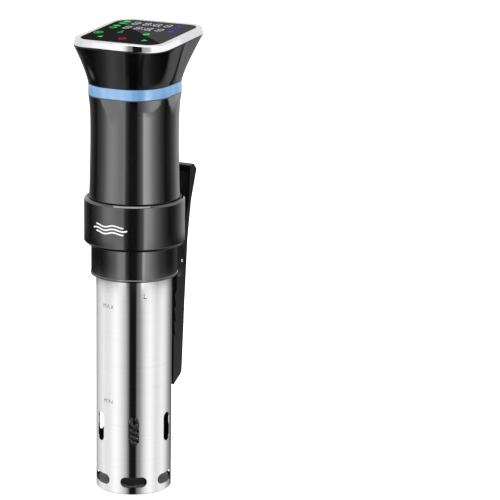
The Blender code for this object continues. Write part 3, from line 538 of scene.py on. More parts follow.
WHITE_SEGMENT = Lit("white_segment", Slot.BLACK_GLASS, (0.42, 0.42, 0.45), (0.6, 0.6, 0.63), PRINT_ROUGH,
                    ior=PRINT_IOR, glow=SEGMENT_GLOW)
SEGMENT_HALO = Lit("segment_halo", Slot.BLACK_GLASS, (0.002, 0.002, 0.006), (0.003, 0.003, 0.012),
                   PRINT_ROUGH, ior=PRINT_IOR, glow=SEGMENT_GLOW)
WHITE_PRINT = Lit("white_print", Slot.GLOSS_BLACK, (0.8, 0.8, 0.8), (0.88, 0.88, 0.88), (0.3, 0.45),
                  glow=0.0)
ETCHED_GREY = Lit("etched_grey", Slot.BRUSHED_STEEL, (0.16, 0.16, 0.16), (0.24, 0.24, 0.24), (0.45, 0.6),
                  glow=0.0)
CAP_GREY = CapPlastic("grey_end_cap", Slot.SATIN_BLACK, (0.3, 0.3, 0.3), (0.36, 0.36, 0.36), (0.45, 0.6))
CIRCUIT_BOARD = Board("green_circuit_board", Slot.CIRCUIT_BOARD, (0.008, 0.09, 0.035), (0.03, 0.2, 0.08),
                      (0.3, 0.2))
PALE_PLASTIC = Moulded("natural_plastic", Slot.PALE_PLASTIC, (0.62, 0.6, 0.53), (0.7, 0.68, 0.62),
                       (0.35, 0.5))
GREY_RUBBER = Moulded("silicone_rubber", Slot.GREY_RUBBER, (0.05, 0.05, 0.052), (0.09, 0.09, 0.092),
                      (0.6, 0.75), grain=900.0)


# ---------------------------------------------------------------- meshes

def linked(name: str, data: bpy.types.ID) -> bpy.types.Object:
    """Return a new object in the scene that shows a mesh, a text, a light or a camera."""
    made = bpy.data.objects.new(name, data)
    bpy.context.scene.collection.objects.link(made)
    return made


def merged(mesh: bpy.types.Mesh, distance: float) -> bpy.types.Mesh:
    """Merge a mesh's coincident points, face it outwards and return it."""
    work = bmesh.new()
    work.from_mesh(mesh)
    bmesh.ops.remove_doubles(work, verts=work.verts, dist=distance)
    bmesh.ops.recalc_face_normals(work, faces=work.faces)
    work.to_mesh(mesh)
    work.free()
    return mesh


def dressed(name: str, mesh: bpy.types.Mesh, finish: Finish, sharp: float = 32.0) -> bpy.types.Object:
    """Make an object with a finish and clean shading, not yet tied to a body.

    Args:
        name: The object's name.
        mesh: Its mesh, in the frame's own coordinates.
        finish: Its finish.
        sharp: The angle in degrees past which an edge is shaded sharp, or 0 for flat shading.

    Returns:
        The object.
    """
    if sharp:
        mesh.shade_smooth()
        mesh.set_sharp_from_angle(angle=math.radians(sharp))
        holder = linked("work", mesh)
        weigh = holder.modifiers.new("weigh", "WEIGHTED_NORMAL")
        weigh.weight = 100
        weigh.keep_sharp = True
        mesh = evaluated(holder)
        bpy.data.objects.remove(holder, do_unlink=True)
    mesh.name = name
    mesh.materials.clear()
    mesh.materials.append(finish.material())
    made = linked(name, mesh)
    return made


def piece(name: str, mesh: bpy.types.Mesh, finish: Finish, body: Body, nodes: Sequence[str] = (),
          sharp: float = 32.0) -> bpy.types.Object:
    """Make a finished piece that rides on a body.

    Args:
        name: The piece's name.
        mesh: Its mesh, in the frame's own coordinates.
        finish: Its finish.
        body: The body it rides on.
        nodes: The CAD nodes it stands for.
        sharp: The angle in degrees past which an edge is shaded sharp.

    Returns:
        The piece's object.
    """
    made = dressed(name, mesh, finish, sharp)
    if nodes:
        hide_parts(*nodes)
    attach(made, body.value)
    LOG.info("%s: %d faces on %s", name, len(made.data.polygons), body.value)
    return made


def lean_normals(mesh: bpy.types.Mesh, share: float) -> None:
    """Turn the walls' shading normals towards the line from the axis.

    Args:
        mesh: The mesh, already shaded smooth.
        share: How far to turn them, from 0 (not at all) to 1 (straight out from the axis).
    """
    corners = [Vector(corner.vector) for corner in mesh.corner_normals]
    for polygon in mesh.polygons:
        for index in polygon.loop_indices:
            point = mesh.vertices[mesh.loops[index].vertex_index].co
            out = Vector((point.x, point.y)).normalized()
            facing = polygon.normal.xy.dot(out)
            if abs(polygon.normal.z) < 0.002 and abs(facing) > 0.97 and share == 1.0:
                side = 1.0 if facing > 0.0 else -1.0
                corners[index] = Vector((out.x * side, out.y * side, 0.0))
                continue
            level = corners[index].xy
            if level.dot(out) > 0.3:
                level = (level.normalized() * (1.0 - share) + out * share).normalized() * level.length
                corners[index] = Vector((level.x, level.y, corners[index].z)).normalized()
    mesh.normals_split_custom_set([tuple(corner) for corner in corners])


def mesh_from(points: Sequence[Vector], faces: Sequence[Sequence[int]]) -> bpy.types.Mesh:
    """Return a mesh whose closed shells all face outwards."""
    mesh = bpy.data.meshes.new("work")
    mesh.from_pydata([tuple(p) for p in points], [], faces)
    return merged(mesh, 1e-7)


def joined(meshes: Sequence[bpy.types.Mesh]) -> bpy.types.Mesh:
    """Return one mesh that holds several, and remove them."""
    work = bmesh.new()
    for mesh in meshes:
        work.from_mesh(mesh)
        bpy.data.meshes.remove(mesh)
    whole = bpy.data.meshes.new("work")
    work.to_mesh(whole)
    work.free()
    return whole


def rounded(corners: Sequence[Corner], steps: int = 4) -> list[Point]:
    """Round the corners of a closed outline.

    Args:
        corners: Each corner's two coordinates and its fillet radius.
        steps: How many stretches a fillet's arc has.

    Returns:
        The outline's points.
    """
    points: list[Point] = []
    count = len(corners)
    for k, (x, y, radius) in enumerate(corners):
        here = Vector((x, y))
        if radius <= 0.0:
            points.append((x, y))
            continue
        before = Vector(corners[k - 1][:2]) - here
        after = Vector(corners[(k + 1) % count][:2]) - here
        half = before.angle(after) / 2.0
        run = min(radius / math.tan(half), 0.49 * before.length, 0.49 * after.length)
        real = run * math.tan(half)
        centre = here + (before.normalized() + after.normalized()).normalized() * (real / math.sin(half))
        first = here + before.normalized() * run - centre
        last = here + after.normalized() * run - centre
        for step in range(steps + 1):
            share = step / steps
            spoke = (first * (1.0 - share) + last * share).normalized() * real
            points.append((centre.x + spoke.x, centre.y + spoke.y))
    return points


def turned(outline: Sequence[Point], segments: int = 192, matrix: Matrix | None = None,
           closed: bool = True) -> bpy.types.Mesh:
    """Revolve an outline of (radius, height) points about Z.

    Args:
        outline: The outline. An open one starts and ends on the axis.
        segments: How many facets there are round the axis.
        matrix: Where the axis is, if it isn't the frame's own.
        closed: Whether the outline's last point joins its first.

    Returns:
        The closed mesh.
    """
    points: list[Vector] = []
    rings: list[list[int]] = []
    for radius, height in outline:
        if radius < 1e-9:
            points.append(Vector((0.0, 0.0, height)))
            rings.append([len(points) - 1] * segments)
            continue
        start = len(points)
        for k in range(segments):
            angle = FULL_TURN * k / segments
            points.append(Vector((radius * math.cos(angle), radius * math.sin(angle), height)))
        rings.append(list(range(start, start + segments)))
    faces: list[list[int]] = []
    pairs = list(zip(rings, rings[1:]))
    if closed:
        pairs.append((rings[-1], rings[0]))
    for low, high in pairs:
        for k in range(segments):
            loop = [low[k], low[(k + 1) % segments], high[(k + 1) % segments], high[k]]
            loop = [v for i, v in enumerate(loop) if v != loop[i - 1]]
            if len(loop) > 2:
                faces.append(loop)
    if matrix is not None:
        points = [matrix @ p for p in points]
    return mesh_from(points, faces)


def lofted(rings: Sequence[Sequence[Vector]], closed: bool = True) -> bpy.types.Mesh:
    """Join rings of points into a closed tube wall, or into a solid with end faces."""
    count = len(rings[0])
    points = [p for ring in rings for p in ring]
    faces: list[list[int]] = []
    steps = len(rings) if closed else len(rings) - 1
    for step in range(steps):
        low = step * count
        high = ((step + 1) % len(rings)) * count
        for k in range(count):
            after = (k + 1) % count
            faces.append([low + k, low + after, high + after, high + k])
    if not closed:
        faces.append(list(range(count)))
        faces.append([(len(rings) - 1) * count + k for k in reversed(range(count))])
    return mesh_from(points, faces)


def plate(outlines: Sequence[Sequence[Point]], matrix: Matrix, low: float, high: float) -> bpy.types.Mesh:
    """Return flat shapes given as outlines, as thin solids between two heights of a frame."""
    parts = []
    for outline in outlines:
        rings = [[matrix @ Vector((x, y, z)) for x, y in outline] for z in (low, high)]
        parts.append(lofted(rings, closed=False))
    return joined(parts)


def carve(mesh: bpy.types.Mesh, tools: Sequence[bpy.types.Mesh],
          operation: str = "DIFFERENCE") -> bpy.types.Mesh:
    """Cut a mesh with others by exact Booleans and return the result."""
    base = linked("work", mesh)
    helpers = []
    for tool in tools:
        helper = linked("tool", tool)
        helpers.append(helper)
        modifier = base.modifiers.new("cut", "BOOLEAN")
        modifier.operation = operation
        modifier.solver = "EXACT"
        modifier.object = helper
    result = evaluated(base)
    for helper in [base, *helpers]:
        bpy.data.objects.remove(helper, do_unlink=True)
    return result


def evaluated(source: bpy.types.Object) -> bpy.types.Mesh:
    """Return a plain mesh of an object with its modifiers applied."""
    graph = bpy.context.evaluated_depsgraph_get()
    return bpy.data.meshes.new_from_object(source.evaluated_get(graph))


def softened(node: str, width: float, segments: int = 3) -> bpy.types.Mesh:
    """Return a copy of a flat-sided CAD node's mesh, merged, with its edges rounded over."""
    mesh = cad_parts[node].data.copy()
    work = bmesh.new()
    work.from_mesh(mesh)
    bmesh.ops.remove_doubles(work, verts=work.verts, dist=2e-6)
    bmesh.ops.dissolve_limit(work, angle_limit=math.radians(1.0), verts=work.verts, edges=work.edges)
    work.to_mesh(mesh)
    work.free()
    holder = linked("work", mesh)
    bevel = holder.modifiers.new("soften", "BEVEL")
    bevel.width = width
    bevel.segments = segments
    bevel.limit_method = "ANGLE"
    bevel.angle_limit = math.radians(28.0)
    bevel.harden_normals = False
    result = evaluated(holder)
    bpy.data.objects.remove(holder, do_unlink=True)
    return result


# ---------------------------------------------------------------- geometry node trees

class GeometryTree:
    """A Geometry Nodes tree that is built once and baked for each use."""

    def __init__(self, name: str, inputs: dict[str, str]) -> None:
        """Start the tree with a geometry input and output and the named inputs.

        Args:
            name: The tree's name.
            inputs: Each further input's name and socket type.
        """
        self.tree = bpy.data.node_groups.new(name, "GeometryNodeTree")
        face = self.tree.interface
        face.new_socket("Geometry", in_out="INPUT", socket_type="NodeSocketGeometry")
        for label, kind in inputs.items():
            face.new_socket(label, in_out="INPUT", socket_type=kind)
        face.new_socket("Geometry", in_out="OUTPUT", socket_type="NodeSocketGeometry")
        self.kit = Tree(self.tree)
        self.start = self.kit.node("NodeGroupInput")
        self.end = self.kit.node("NodeGroupOutput")

    def close(self, geometry: bpy.types.NodeSocket) -> None:
        """Finish the tree: realize what it made and give it its material."""
        realized = self.kit.node("GeometryNodeRealizeInstances", None, Geometry=geometry)
        dressed = self.kit.node("GeometryNodeSetMaterial", None, Geometry=realized.outputs[0],
                                Material=self.start.outputs["Material"])
        self.tree.links.new(dressed.outputs[0], self.end.inputs[0])

    def bake(self, base: bpy.types.Mesh, **values) -> bpy.types.Mesh:
        """Run the tree on a mesh and return the plain result.

        Args:
            base: The mesh that goes in.
            values: A value for each named input, with underscores for spaces.

        Returns:
            The baked mesh.
        """
        holder = linked("work", base)
        modifier = holder.modifiers.new("nodes", "NODES")
        modifier.node_group = self.tree
        names = {item.name: item.identifier for item in self.tree.interface.items_tree
                 if item.in_out == "INPUT"}
        for label, value in values.items():
            modifier[names[label.replace("_", " ")]] = value
        result = evaluated(holder)
        bpy.data.objects.remove(holder, do_unlink=True)
        return result


def scatter_tree() -> GeometryTree:
    """Return the tree that puts a copy of a unit at each point, turned as the point says."""
    made = GeometryTree("place_units", {"Unit": "NodeSocketObject", "Material": "NodeSocketMaterial"})
    kit = made.kit
    unit = kit.node("GeometryNodeObjectInfo", None, Object=made.start.outputs["Unit"])
    turn = kit.node("GeometryNodeInputNamedAttribute", {"data_type": "FLOAT_VECTOR"}, Name="turn")
    placed = kit.node("GeometryNodeInstanceOnPoints", None, Points=made.start.outputs["Geometry"],
                      Instance=unit.outputs["Geometry"], Rotation=turn.outputs["Attribute"])
    made.close(placed.outputs[0])
    return made


def tube_tree() -> GeometryTree:
    """Return the tree that sweeps a round tube along a path of edges."""
    made = GeometryTree("sweep_tube", {"Radius": "NodeSocketFloat", "Sides": "NodeSocketInt",
                                       "Material": "NodeSocketMaterial"})
    kit = made.kit
    path = kit.node("GeometryNodeMeshToCurve", None, Mesh=made.start.outputs["Geometry"])
    ring = kit.node("GeometryNodeCurvePrimitiveCircle", None, Resolution=made.start.outputs["Sides"],
                    Radius=made.start.outputs["Radius"])
    swept = kit.node("GeometryNodeCurveToMesh", None, Curve=path.outputs[0],
                     Profile_Curve=ring.outputs[0], Fill_Caps=True)
    made.close(swept.outputs[0])
    return made


@dataclass
class Workshop:
    """The two Geometry Nodes trees that the sub-assemblies share."""

    scatter: GeometryTree = field(default_factory=scatter_tree)
    tube: GeometryTree = field(default_factory=tube_tree)

    def copies(self, unit: bpy.types.Mesh, spots: Sequence[Vector], turns: Sequence[Vector],
               finish: Finish) -> bpy.types.Mesh:
        """Return copies of a unit mesh at spots, each turned by XYZ angles."""
        points = bpy.data.meshes.new("points")
        points.from_pydata([tuple(s) for s in spots], [], [])
        attribute = points.attributes.new("turn", "FLOAT_VECTOR", "POINT")
        for k, turn in enumerate(turns):
            attribute.data[k].vector = turn
        holder = linked("unit", unit)
        result = self.scatter.bake(points, Unit=holder, Material=finish.material())
        bpy.data.objects.remove(holder, do_unlink=True)
        return result

    def swept(self, path: Sequence[Vector], radius: float, sides: int, finish: Finish) -> bpy.types.Mesh:
        """Return a round tube along a path."""
        line = bpy.data.meshes.new("path")
        line.from_pydata([tuple(p) for p in path], [(k, k + 1) for k in range(len(path) - 1)], [])
        return self.tube.bake(line, Radius=radius, Sides=sides, Material=finish.material())


# ---------------------------------------------------------------- shapes of the casing

def mix(first: float, second: float, share: float) -> float:
    """Blend two values."""
    return first + (second - first) * share


def bearing(degrees: float, radius: float, height: float) -> Vector:
    """Return the point at a bearing from the front towards +X."""
    angle = math.radians(degrees)
    return Vector((radius * math.sin(angle), -radius * math.cos(angle), height))


def reach(angle: float, side: float, corner: float) -> float:
    """Return how far a rounded square reaches from its centre in a direction."""
    across = max(abs(math.cos(angle)), abs(math.sin(angle)))
    along = min(abs(math.cos(angle)), abs(math.sin(angle)))
    core = side / 2.0 - corner
    flat = side / 2.0 / across
    if flat * along <= core:
        return flat
    total = core * (across + along)
    return total + math.sqrt(max(total * total - 2.0 * core * core + corner * corner, 0.0))


@dataclass(frozen=True)
class Section:
    """One cross-section of the casing: a rounded square, perhaps tilted and set back."""

    side: float
    corner: float
    height: float
    back: float = 0.0
    tilt: float = 0.0

    def matrix(self, lift: float = 0.0) -> Matrix:
        """Return the section's frame, lifted along its own normal."""
        place = Matrix.Translation((0.0, self.back, self.height)) @ Matrix.Rotation(self.tilt, 4, "X")
        return place @ Matrix.Translation((0.0, 0.0, lift))

    def ring(self, inset: float = 0.0, lift: float = 0.0, count: int = 192) -> list[Vector]:
        """Return the points of the outline moved inwards by an inset and up by a lift."""
        matrix = self.matrix(lift)
        points = []
        for k in range(count):
            angle = FULL_TURN * k / count
            length = reach(angle, self.side - 2.0 * inset, max(self.corner - inset, 1.0 * MM))
            points.append(matrix @ Vector((length * math.cos(angle), length * math.sin(angle), 0.0)))
        return points


def shell(sections: Sequence[Section], wall: float, edge: float) -> bpy.types.Mesh:
    """Return a hollow shell through sections, with its two outer edges rounded over.

    Args:
        sections: The cross-sections from the bottom to the top.
        wall: The wall's thickness.
        edge: The radius of the outer edges.

    Returns:
        The closed mesh.
    """
    steps = 4
    rings = []
    for k in range(steps):
        angle = 0.5 * math.pi * k / steps
        rings.append(sections[0].ring(edge * (1.0 - math.sin(angle)), edge * (1.0 - math.cos(angle))))
    rings.append(sections[0].ring(0.0, edge))
    rings += [section.ring() for section in sections[1:-1]]
    rings.append(sections[-1].ring(0.0, -edge))
    for k in reversed(range(steps)):
        angle = 0.5 * math.pi * k / steps
        rings.append(sections[-1].ring(edge * (1.0 - math.sin(angle)), -edge * (1.0 - math.cos(angle))))
    rings += [section.ring(wall) for section in reversed(sections)]
    return lofted(rings)


@dataclass
class Casing:
    """The fixed casing above the clamp ring: grip, light band, head and bezel.

    Args:
        waist_radius: The grip's smallest radius.
        band: The light band's lower outline.
        band_rise: The band's height.
        seam: The gap between neighbouring mouldings.
        rim: The bezel's upper outline.
        roundness: How far the walls are shaded as if they were round.
        grip_flare: The power by which the grip turns square above its waist.
        head_flare: The power by which the head widens.
        inlet_bore: The radius of the hole for the cord inlet.
    """

    grip_bottom: float = 236.6 * MM
    grip_radius: float = 35.45 * MM
    waist_radius: float = 34.42 * MM
    waist_height: float = 287.0 * MM
    wall: float = 2.2 * MM
    band: Section = Section(67.6 * MM, 27.0 * MM, 318.9 * MM, 0.5 * MM, math.radians(2.8))
    band_rise: float = 8.1 * MM
    seam: float = 0.3 * MM
    rim: Section = Section(82.1 * MM, 16.3 * MM, 364.3 * MM, 5.7 * MM, math.radians(5.9))
    bezel_depth: float = 5.0 * MM
    glass_side: float = 70.4 * MM
    glass_corner: float = 12.0 * MM
    roundness: float = 1.0
    grip_flare: float = 3.0
    head_flare: float = 1.25
    edge: float = 0.35 * MM
    band_edge: float = 0.2 * MM
    inlet_bore: float = 5.3 * MM

    def grip_section(self, share: float) -> Section:
        """Return the grip's cross-section at a share of its height."""
        top = self.band.height - self.seam
        height = mix(self.grip_bottom, top, share)
        waist = (self.waist_height - self.grip_bottom) / (top - self.grip_bottom)
        below = max(1.0 - share / waist, 0.0)
        radius = self.waist_radius + (self.grip_radius - self.waist_radius) * below ** 1.5
        blend = max((share - waist) / (1.0 - waist), 0.0) ** self.grip_flare
        side = mix(2.0 * radius, self.band.side, blend)
        corner = mix(radius, self.band.corner, blend)
        return Section(side, corner, height, self.band.back * blend, self.band.tilt * blend)

    def head_section(self, share: float) -> Section:
        """Return the head's cross-section at a share of its height."""
        flare = share ** self.head_flare
        low = self.band.height + self.band_rise + self.seam
        high = self.rim.height - self.bezel_depth - self.seam
        side = mix(self.band.side, self.rim.side, flare)
        corner = mix(self.band.corner, self.rim.corner, flare)
        back = mix(self.band.back, self.rim.back, flare)
        return Section(side, corner, mix(low, high, share), back, mix(self.band.tilt, self.rim.tilt, share))

    def build(self) -> None:
        """Make the four visible pieces of the casing."""
        grip_steps, head_steps = 20, 24
        grip = shell([self.grip_section(k / grip_steps) for k in range(grip_steps + 1)], self.wall, self.edge)
        inside, outside = 20 * MM, 45 * MM
        hole = turned([(0.0, inside), (self.inlet_bore, inside), (self.inlet_bore, outside), (0.0, outside)],
                      48, inlet_matrix(), closed=False)
        pieces = [piece("grip_casing", carve(grip, [hole]), GLOSS_BLACK, Body.HOUSING, ["grip_shell"])]
        head = shell([self.head_section(k / head_steps) for k in range(head_steps + 1)], self.wall, self.edge)
        pieces.append(piece("head_casing", head, HEAD_BLACK, Body.HOUSING, ["head_shell"]))
        top = Section(self.band.side, self.band.corner, self.band.height + self.band_rise, self.band.back,
                      self.band.tilt)
        band = shell([self.band, top], self.wall, self.band_edge)
        piece("light_band", band, BAND_BLUE, Body.HOUSING, ["light_ring"])
        pieces.append(piece("bezel", self.bezel(), CHROME, Body.HOUSING, ["bezel_ring"]))
        for made in pieces:
            lean_normals(made.data, self.roundness)

    def bezel(self) -> bpy.types.Mesh:
        """Return the rounded chrome frame round the glass."""
        gap = 0.25 * MM
        inner = (self.rim.side - self.glass_side) / 2.0 - gap
        seat = -2.6 * MM
        ledge = inner + 1.6 * MM
        corners = [
            (0.0, -self.bezel_depth, 0.3 * MM), (0.0, -4.5 * MM, 0.3 * MM),
            (1.1 * MM, -0.22 * MM, 0.5 * MM), (2.8 * MM, 0.0, 0.8 * MM),
            (inner, 0.0, 0.25 * MM), (inner, seat, 0.0), (ledge, seat, 0.0), (ledge, -self.bezel_depth, 0.0),
        ]
        return lofted([self.rim.ring(inset, lift) for inset, lift in rounded(corners, 5)])


def inlet_matrix() -> Matrix:
    """Return the frame of the cord inlet, whose Z axis points out of the back."""
    return Matrix.Translation((0.0, 0.0, 304.0 * MM)) @ Matrix.Rotation(math.radians(-90.0), 4, "X")


@dataclass
class CordInlet:
    """The empty cord gland in the back of the grip."""

    bore: float = 3.7 * MM
    thread: float = 5.0 * MM
    flange: float = 8.0 * MM
    inside: float = 26.0 * MM
    seat: float = 34.9 * MM
    outside: float = 42.5 * MM
    ribs: int = 3

    def build(self) -> None:
        """Make the gland with its flange and ribbed snout."""
        corners = [
            (self.bore, self.inside, 0.2 * MM), (self.thread, self.inside, 0.2 * MM),
            (self.thread, self.seat, 0.0), (self.flange, self.seat, 0.2 * MM),
            (self.flange, 37 * MM, 0.7 * MM), (6.6 * MM, 38.3 * MM, 0.4 * MM),
        ]
        crest, groove = 6.5 * MM, 6.0 * MM
        for k in range(self.ribs):
            base = 38.9 + 1.1 * k
            corners += [(crest, base * MM, 0.15 * MM), (crest, (base + 0.5) * MM, 0.15 * MM),
                        (groove, (base + 0.6) * MM, 0.1 * MM), (groove, (base + 1.0) * MM, 0.1 * MM)]
        corners += [(5.9 * MM, self.outside, 0.4 * MM), (self.bore, self.outside, 0.4 * MM)]
        gland = turned(rounded(corners, 3), 64, inlet_matrix())
        piece("cord_inlet", gland, SATIN_BLACK, Body.HOUSING, ["cord_gland"])


# ---------------------------------------------------------------- touch panel

def ellipse(x: float, y: float, across: float, up: float, count: int = 32) -> list[Point]:
    """Return an ellipse's outline from its centre and half-widths."""
    return [(x + across * math.cos(FULL_TURN * k / count), y + up * math.sin(FULL_TURN * k / count))
            for k in range(count)]


def bar(x: float, y: float, length: float, width: float, degrees: float = 0.0) -> list[Point]:
    """Return a straight bar's outline from its centre."""
    turn = Matrix.Rotation(math.radians(degrees), 2)
    corners = ((-1, -1), (1, -1), (1, 1), (-1, 1))
    return [(x + v.x, y + v.y) for v in (turn @ Vector((a * length / 2, b * width / 2)) for a, b in corners)]


def arc(x: float, y: float, radius: float, width: float, start: float, end: float,
        count: int = 28) -> list[list[Point]]:
    """Return an arc-shaped stroke as short quads, between two angles in degrees."""
    quads = []
    for k in range(count):
        pair = [math.radians(mix(start, end, (k + s) / count)) for s in (0, 1)]
        inner, outer = ([(x + size * math.cos(a), y + size * math.sin(a)) for a in pair]
                        for size in (radius - width / 2, radius + width / 2))
        quads.append([inner[0], outer[0], outer[1], inner[1]])
    return quads


@dataclass
class TouchPanel:
    """The glass top with its lit digits and symbols, laid out in panel millimetres.

    Args:
        scale: The size of one panel millimetre in real millimetres.
        shift: How far the layout's centre is from the glass's.
        stroke: Half the width of a digit's segment.
        slant: How far a digit leans, as a share of its height.
        rows: The heights of the two rows of digits.
        columns: Where the digits are along a row.
        tone_edge: The direction in the glass from its dark part to its pale corner of painted reflection.
    """

    casing: Casing
    shop: Workshop
    scale: float = 0.95
    shift: tuple[float, float] = (-1.4, 3.3)
    digit_height: float = 8.4
    digit_width: float = 5.4
    stroke: float = 0.3
    slant: float = 0.13
    rows: tuple[float, float] = (22.0, 7.0)
    columns: tuple[float, ...] = (-15.2, -5.1, 4.8, 14.8)
    tone_edge: Point = (0.62, 0.785)

    def matrix(self) -> Matrix:
        """Return the panel's frame, scaled so that its unit is one millimetre of the layout."""
        move = Matrix.Translation((self.shift[0] * MM, self.shift[1] * MM, 0.0))
        return self.casing.rim.matrix() @ move @ Matrix.Scale(MM * self.scale, 4)

    def build(self) -> None:
        """Make the glass and everything printed or lit on it."""
        self.glass()
        self.digits()
        self.points()
        for name, finish, outlines in self.symbols():
            self.symbol(name, outlines, finish)

    def glass(self) -> None:
        """Make the glass plate with a softened edge."""
        rim = self.casing.rim
        pane = Section(self.casing.glass_side, self.casing.glass_corner, rim.height, rim.back, rim.tilt)
        rings = [pane.ring(inset, lift) for inset, lift in
                 ((0.0, -1.8 * MM), (0.0, -0.4 * MM), (0.12 * MM, -0.12 * MM), (0.4 * MM, 0.0))]
        # The pale corner across the diagonal is a painted reflection on the glass.
        across = rim.matrix().to_3x3() @ Vector((*self.tone_edge, 0.0))
        finish = TwoToneGlass("black_touch_glass", Slot.BLACK_GLASS, (0.002, 0.002, 0.0022),
                              (0.034, 0.034, 0.035), (0.03, 0.08), ior=1.02,
                              centre=tuple(rim.matrix().translation), across=tuple(across))
        piece("touch_panel_glass", lofted(rings, closed=False), finish, Body.HOUSING, ["touch_glass"])

    def symbol(self, name: str, outlines: Sequence[Sequence[Point]], finish: Finish, low: float = 0.02,
               high: float = 0.08) -> None:
        """Make one lit symbol as a thin print on the glass."""
        piece(name, plate(outlines, self.matrix(), low, high), finish, Body.HOUSING, sharp=0.0)

    def segments(self, grow: float) -> list[list[Point]]:
        """Return the seven slanted segments of one digit, grown by an amount all round."""
        margin, gap = 0.5, 0.25
        half_w = self.digit_width / 2.0 - margin
        half_h = self.digit_height / 2.0 - margin
        width = self.stroke + grow
        shapes = []
        for y in (-half_h, 0.0, half_h):
            tip = half_w - gap + grow
            shapes.append([(-tip, y), (-tip + width, y - width), (tip - width, y - width), (tip, y),
                           (tip - width, y + width), (-tip + width, y + width)])
        for x in (-half_w, half_w):
            for low, high in ((-half_h, 0.0), (0.0, half_h)):
                a, b = low + gap - grow, high - gap + grow
                shapes.append([(x, a), (x + width, a + width), (x + width, b - width), (x, b),
                               (x - width, b - width), (x - width, a + width)])
        return [[(x + self.slant * y, y) for x, y in shape] for shape in shapes]

    def digits(self) -> None:
        """Make both rows of digits and the blue glow round them, as copies of one digit."""
        matrix = self.matrix()
        spots = [matrix @ Vector((x, y, 0.0)) for y in self.rows for x in self.columns]
        turns = [Vector((self.casing.rim.tilt, 0.0, 0.0))] * len(spots)
        unit_scale = Matrix.Scale(MM * self.scale, 4)
        digit = plate(self.segments(0.0), unit_scale, 0.05, 0.1)
        piece("digit_segments", self.shop.copies(digit, spots, turns, WHITE_SEGMENT), WHITE_SEGMENT,
              Body.HOUSING, sharp=0.0)
        spread = 0.75
        w = self.digit_width / 2.0 + spread
        h = self.digit_height / 2.0 + spread
        frame_corners = [(-w, -h, 1.0), (w, -h, 1.0), (w, h, 1.0), (-w, h, 1.0)]
        halo_outline = [(x + self.slant * y, y) for x, y in rounded(frame_corners, 4)]
        halo = plate([halo_outline], unit_scale, 0.01, 0.035)
        piece("digit_glow", self.shop.copies(halo, spots, turns, SEGMENT_HALO), SEGMENT_HALO, Body.HOUSING,
              sharp=0.0)

    def points(self) -> None:
        """Make the colons and decimal points."""
        dots = []
        for row in self.rows:
            for x, y in ((0.15, 2.0), (-0.45, -2.0), (8.1, -4.5)):
                dots.append(ellipse(x, row + y, 0.62, 0.62, 16))
        self.symbol("digit_points", dots, WHITE_SEGMENT, 0.05, 0.1)

    def symbols(self) -> list[tuple[str, Finish, list[list[Point]]]]:
        """Return each symbol's name, finish and outlines."""
        green, red, blue = GREEN_SYMBOL, RED_SYMBOL, BLUE_SYMBOL
        return [
            ("symbol_egg", green, [ellipse(-26.2, 25.6, 3.25, 2.45)]),
            ("symbol_carrot", green, self.carrot(-26.7, 18.8)),
            ("symbol_fish", green, self.fish(-26.6, 10.0)),
            ("symbol_steak", green, self.steak(-26.6, 3.4)),
            ("symbol_celsius", blue, [ellipse(21.9, 25.2, 0.8, 0.8, 16),
                                      *arc(25.2, 24.2, 1.75, 1.0, 50, 310)]),
            ("symbol_fahrenheit", blue, [ellipse(22.0, 18.4, 0.8, 0.8, 16), bar(24.5, 17.0, 4.2, 1.05, 90),
                                         bar(26.2, 18.6, 2.4, 0.95), bar(25.9, 16.9, 1.8, 0.85)]),
            ("symbol_flame", blue, self.flame(25.9, 6.6)),
            ("symbol_thermometer", green, self.thermometer(-12.3, -8.5)),
            ("symbol_timer", green, self.timer(11.8, -9.0)),
            ("symbol_menu", green, [*arc(-29.4, -15.5, 3.65, 0.75, 0, 360, 48),
                                    *(bar(-29.4, -15.5 + 1.55 * k, 4.0, 0.7) for k in (-1, 0, 1))]),
            ("symbol_left", green, [[(-23.4, -27.5), (-18.8, -30.0), (-18.8, -25.1)]]),
            ("symbol_power", red, [*arc(0.2, -27.7, 2.65, 1.05, -240, 60, 40),
                                   bar(0.2, -25.7, 3.3, 0.95, 90)]),
            ("symbol_right", green, [[(18.9, -30.0), (23.5, -27.5), (18.9, -25.1)]]),
        ]

    def carrot(self, x: float, y: float) -> list[list[Point]]:
        """Return a carrot lying with its tip to the left and three leaves to the right."""
        upper = [(-2.6, 0.85), (0.2, 1.75), (1.7, 1.9), (2.3, 1.0)]
        lower = [(across, -up) for across, up in reversed(upper)]
        root = [(x + across, y + up) for across, up in [(-3.9, 0.0), *upper, *lower]]
        leaves = [bar(x + 3.0, y + 1.2 * k, 1.7, 0.5, 32 * k) for k in (-1, 0, 1)]
        return [root] + leaves

    def fish(self, x: float, y: float) -> list[list[Point]]:
        """Return a fish that faces right, with its fins and forked tail."""
        trunk = [(x + 3.7 * math.cos(a) * (0.85 if math.cos(a) < 0 else 0.95), y + 1.75 * math.sin(a))
                 for a in (FULL_TURN * k / 28 for k in range(28))]
        tail = [(x - 2.6, y + 0.4), (x - 3.9, y + 1.7), (x - 3.3, y), (x - 3.9, y - 1.7), (x - 2.6, y - 0.4)]
        fin = [(x - 1.3, y + 1.6), (x - 0.3, y + 2.7), (x + 1.4, y + 1.6)]
        keel = [(x - 1.2, y - 1.6), (x + 0.8, y - 1.6), (x - 0.6, y - 2.4)]
        return [trunk, tail, fin, keel]

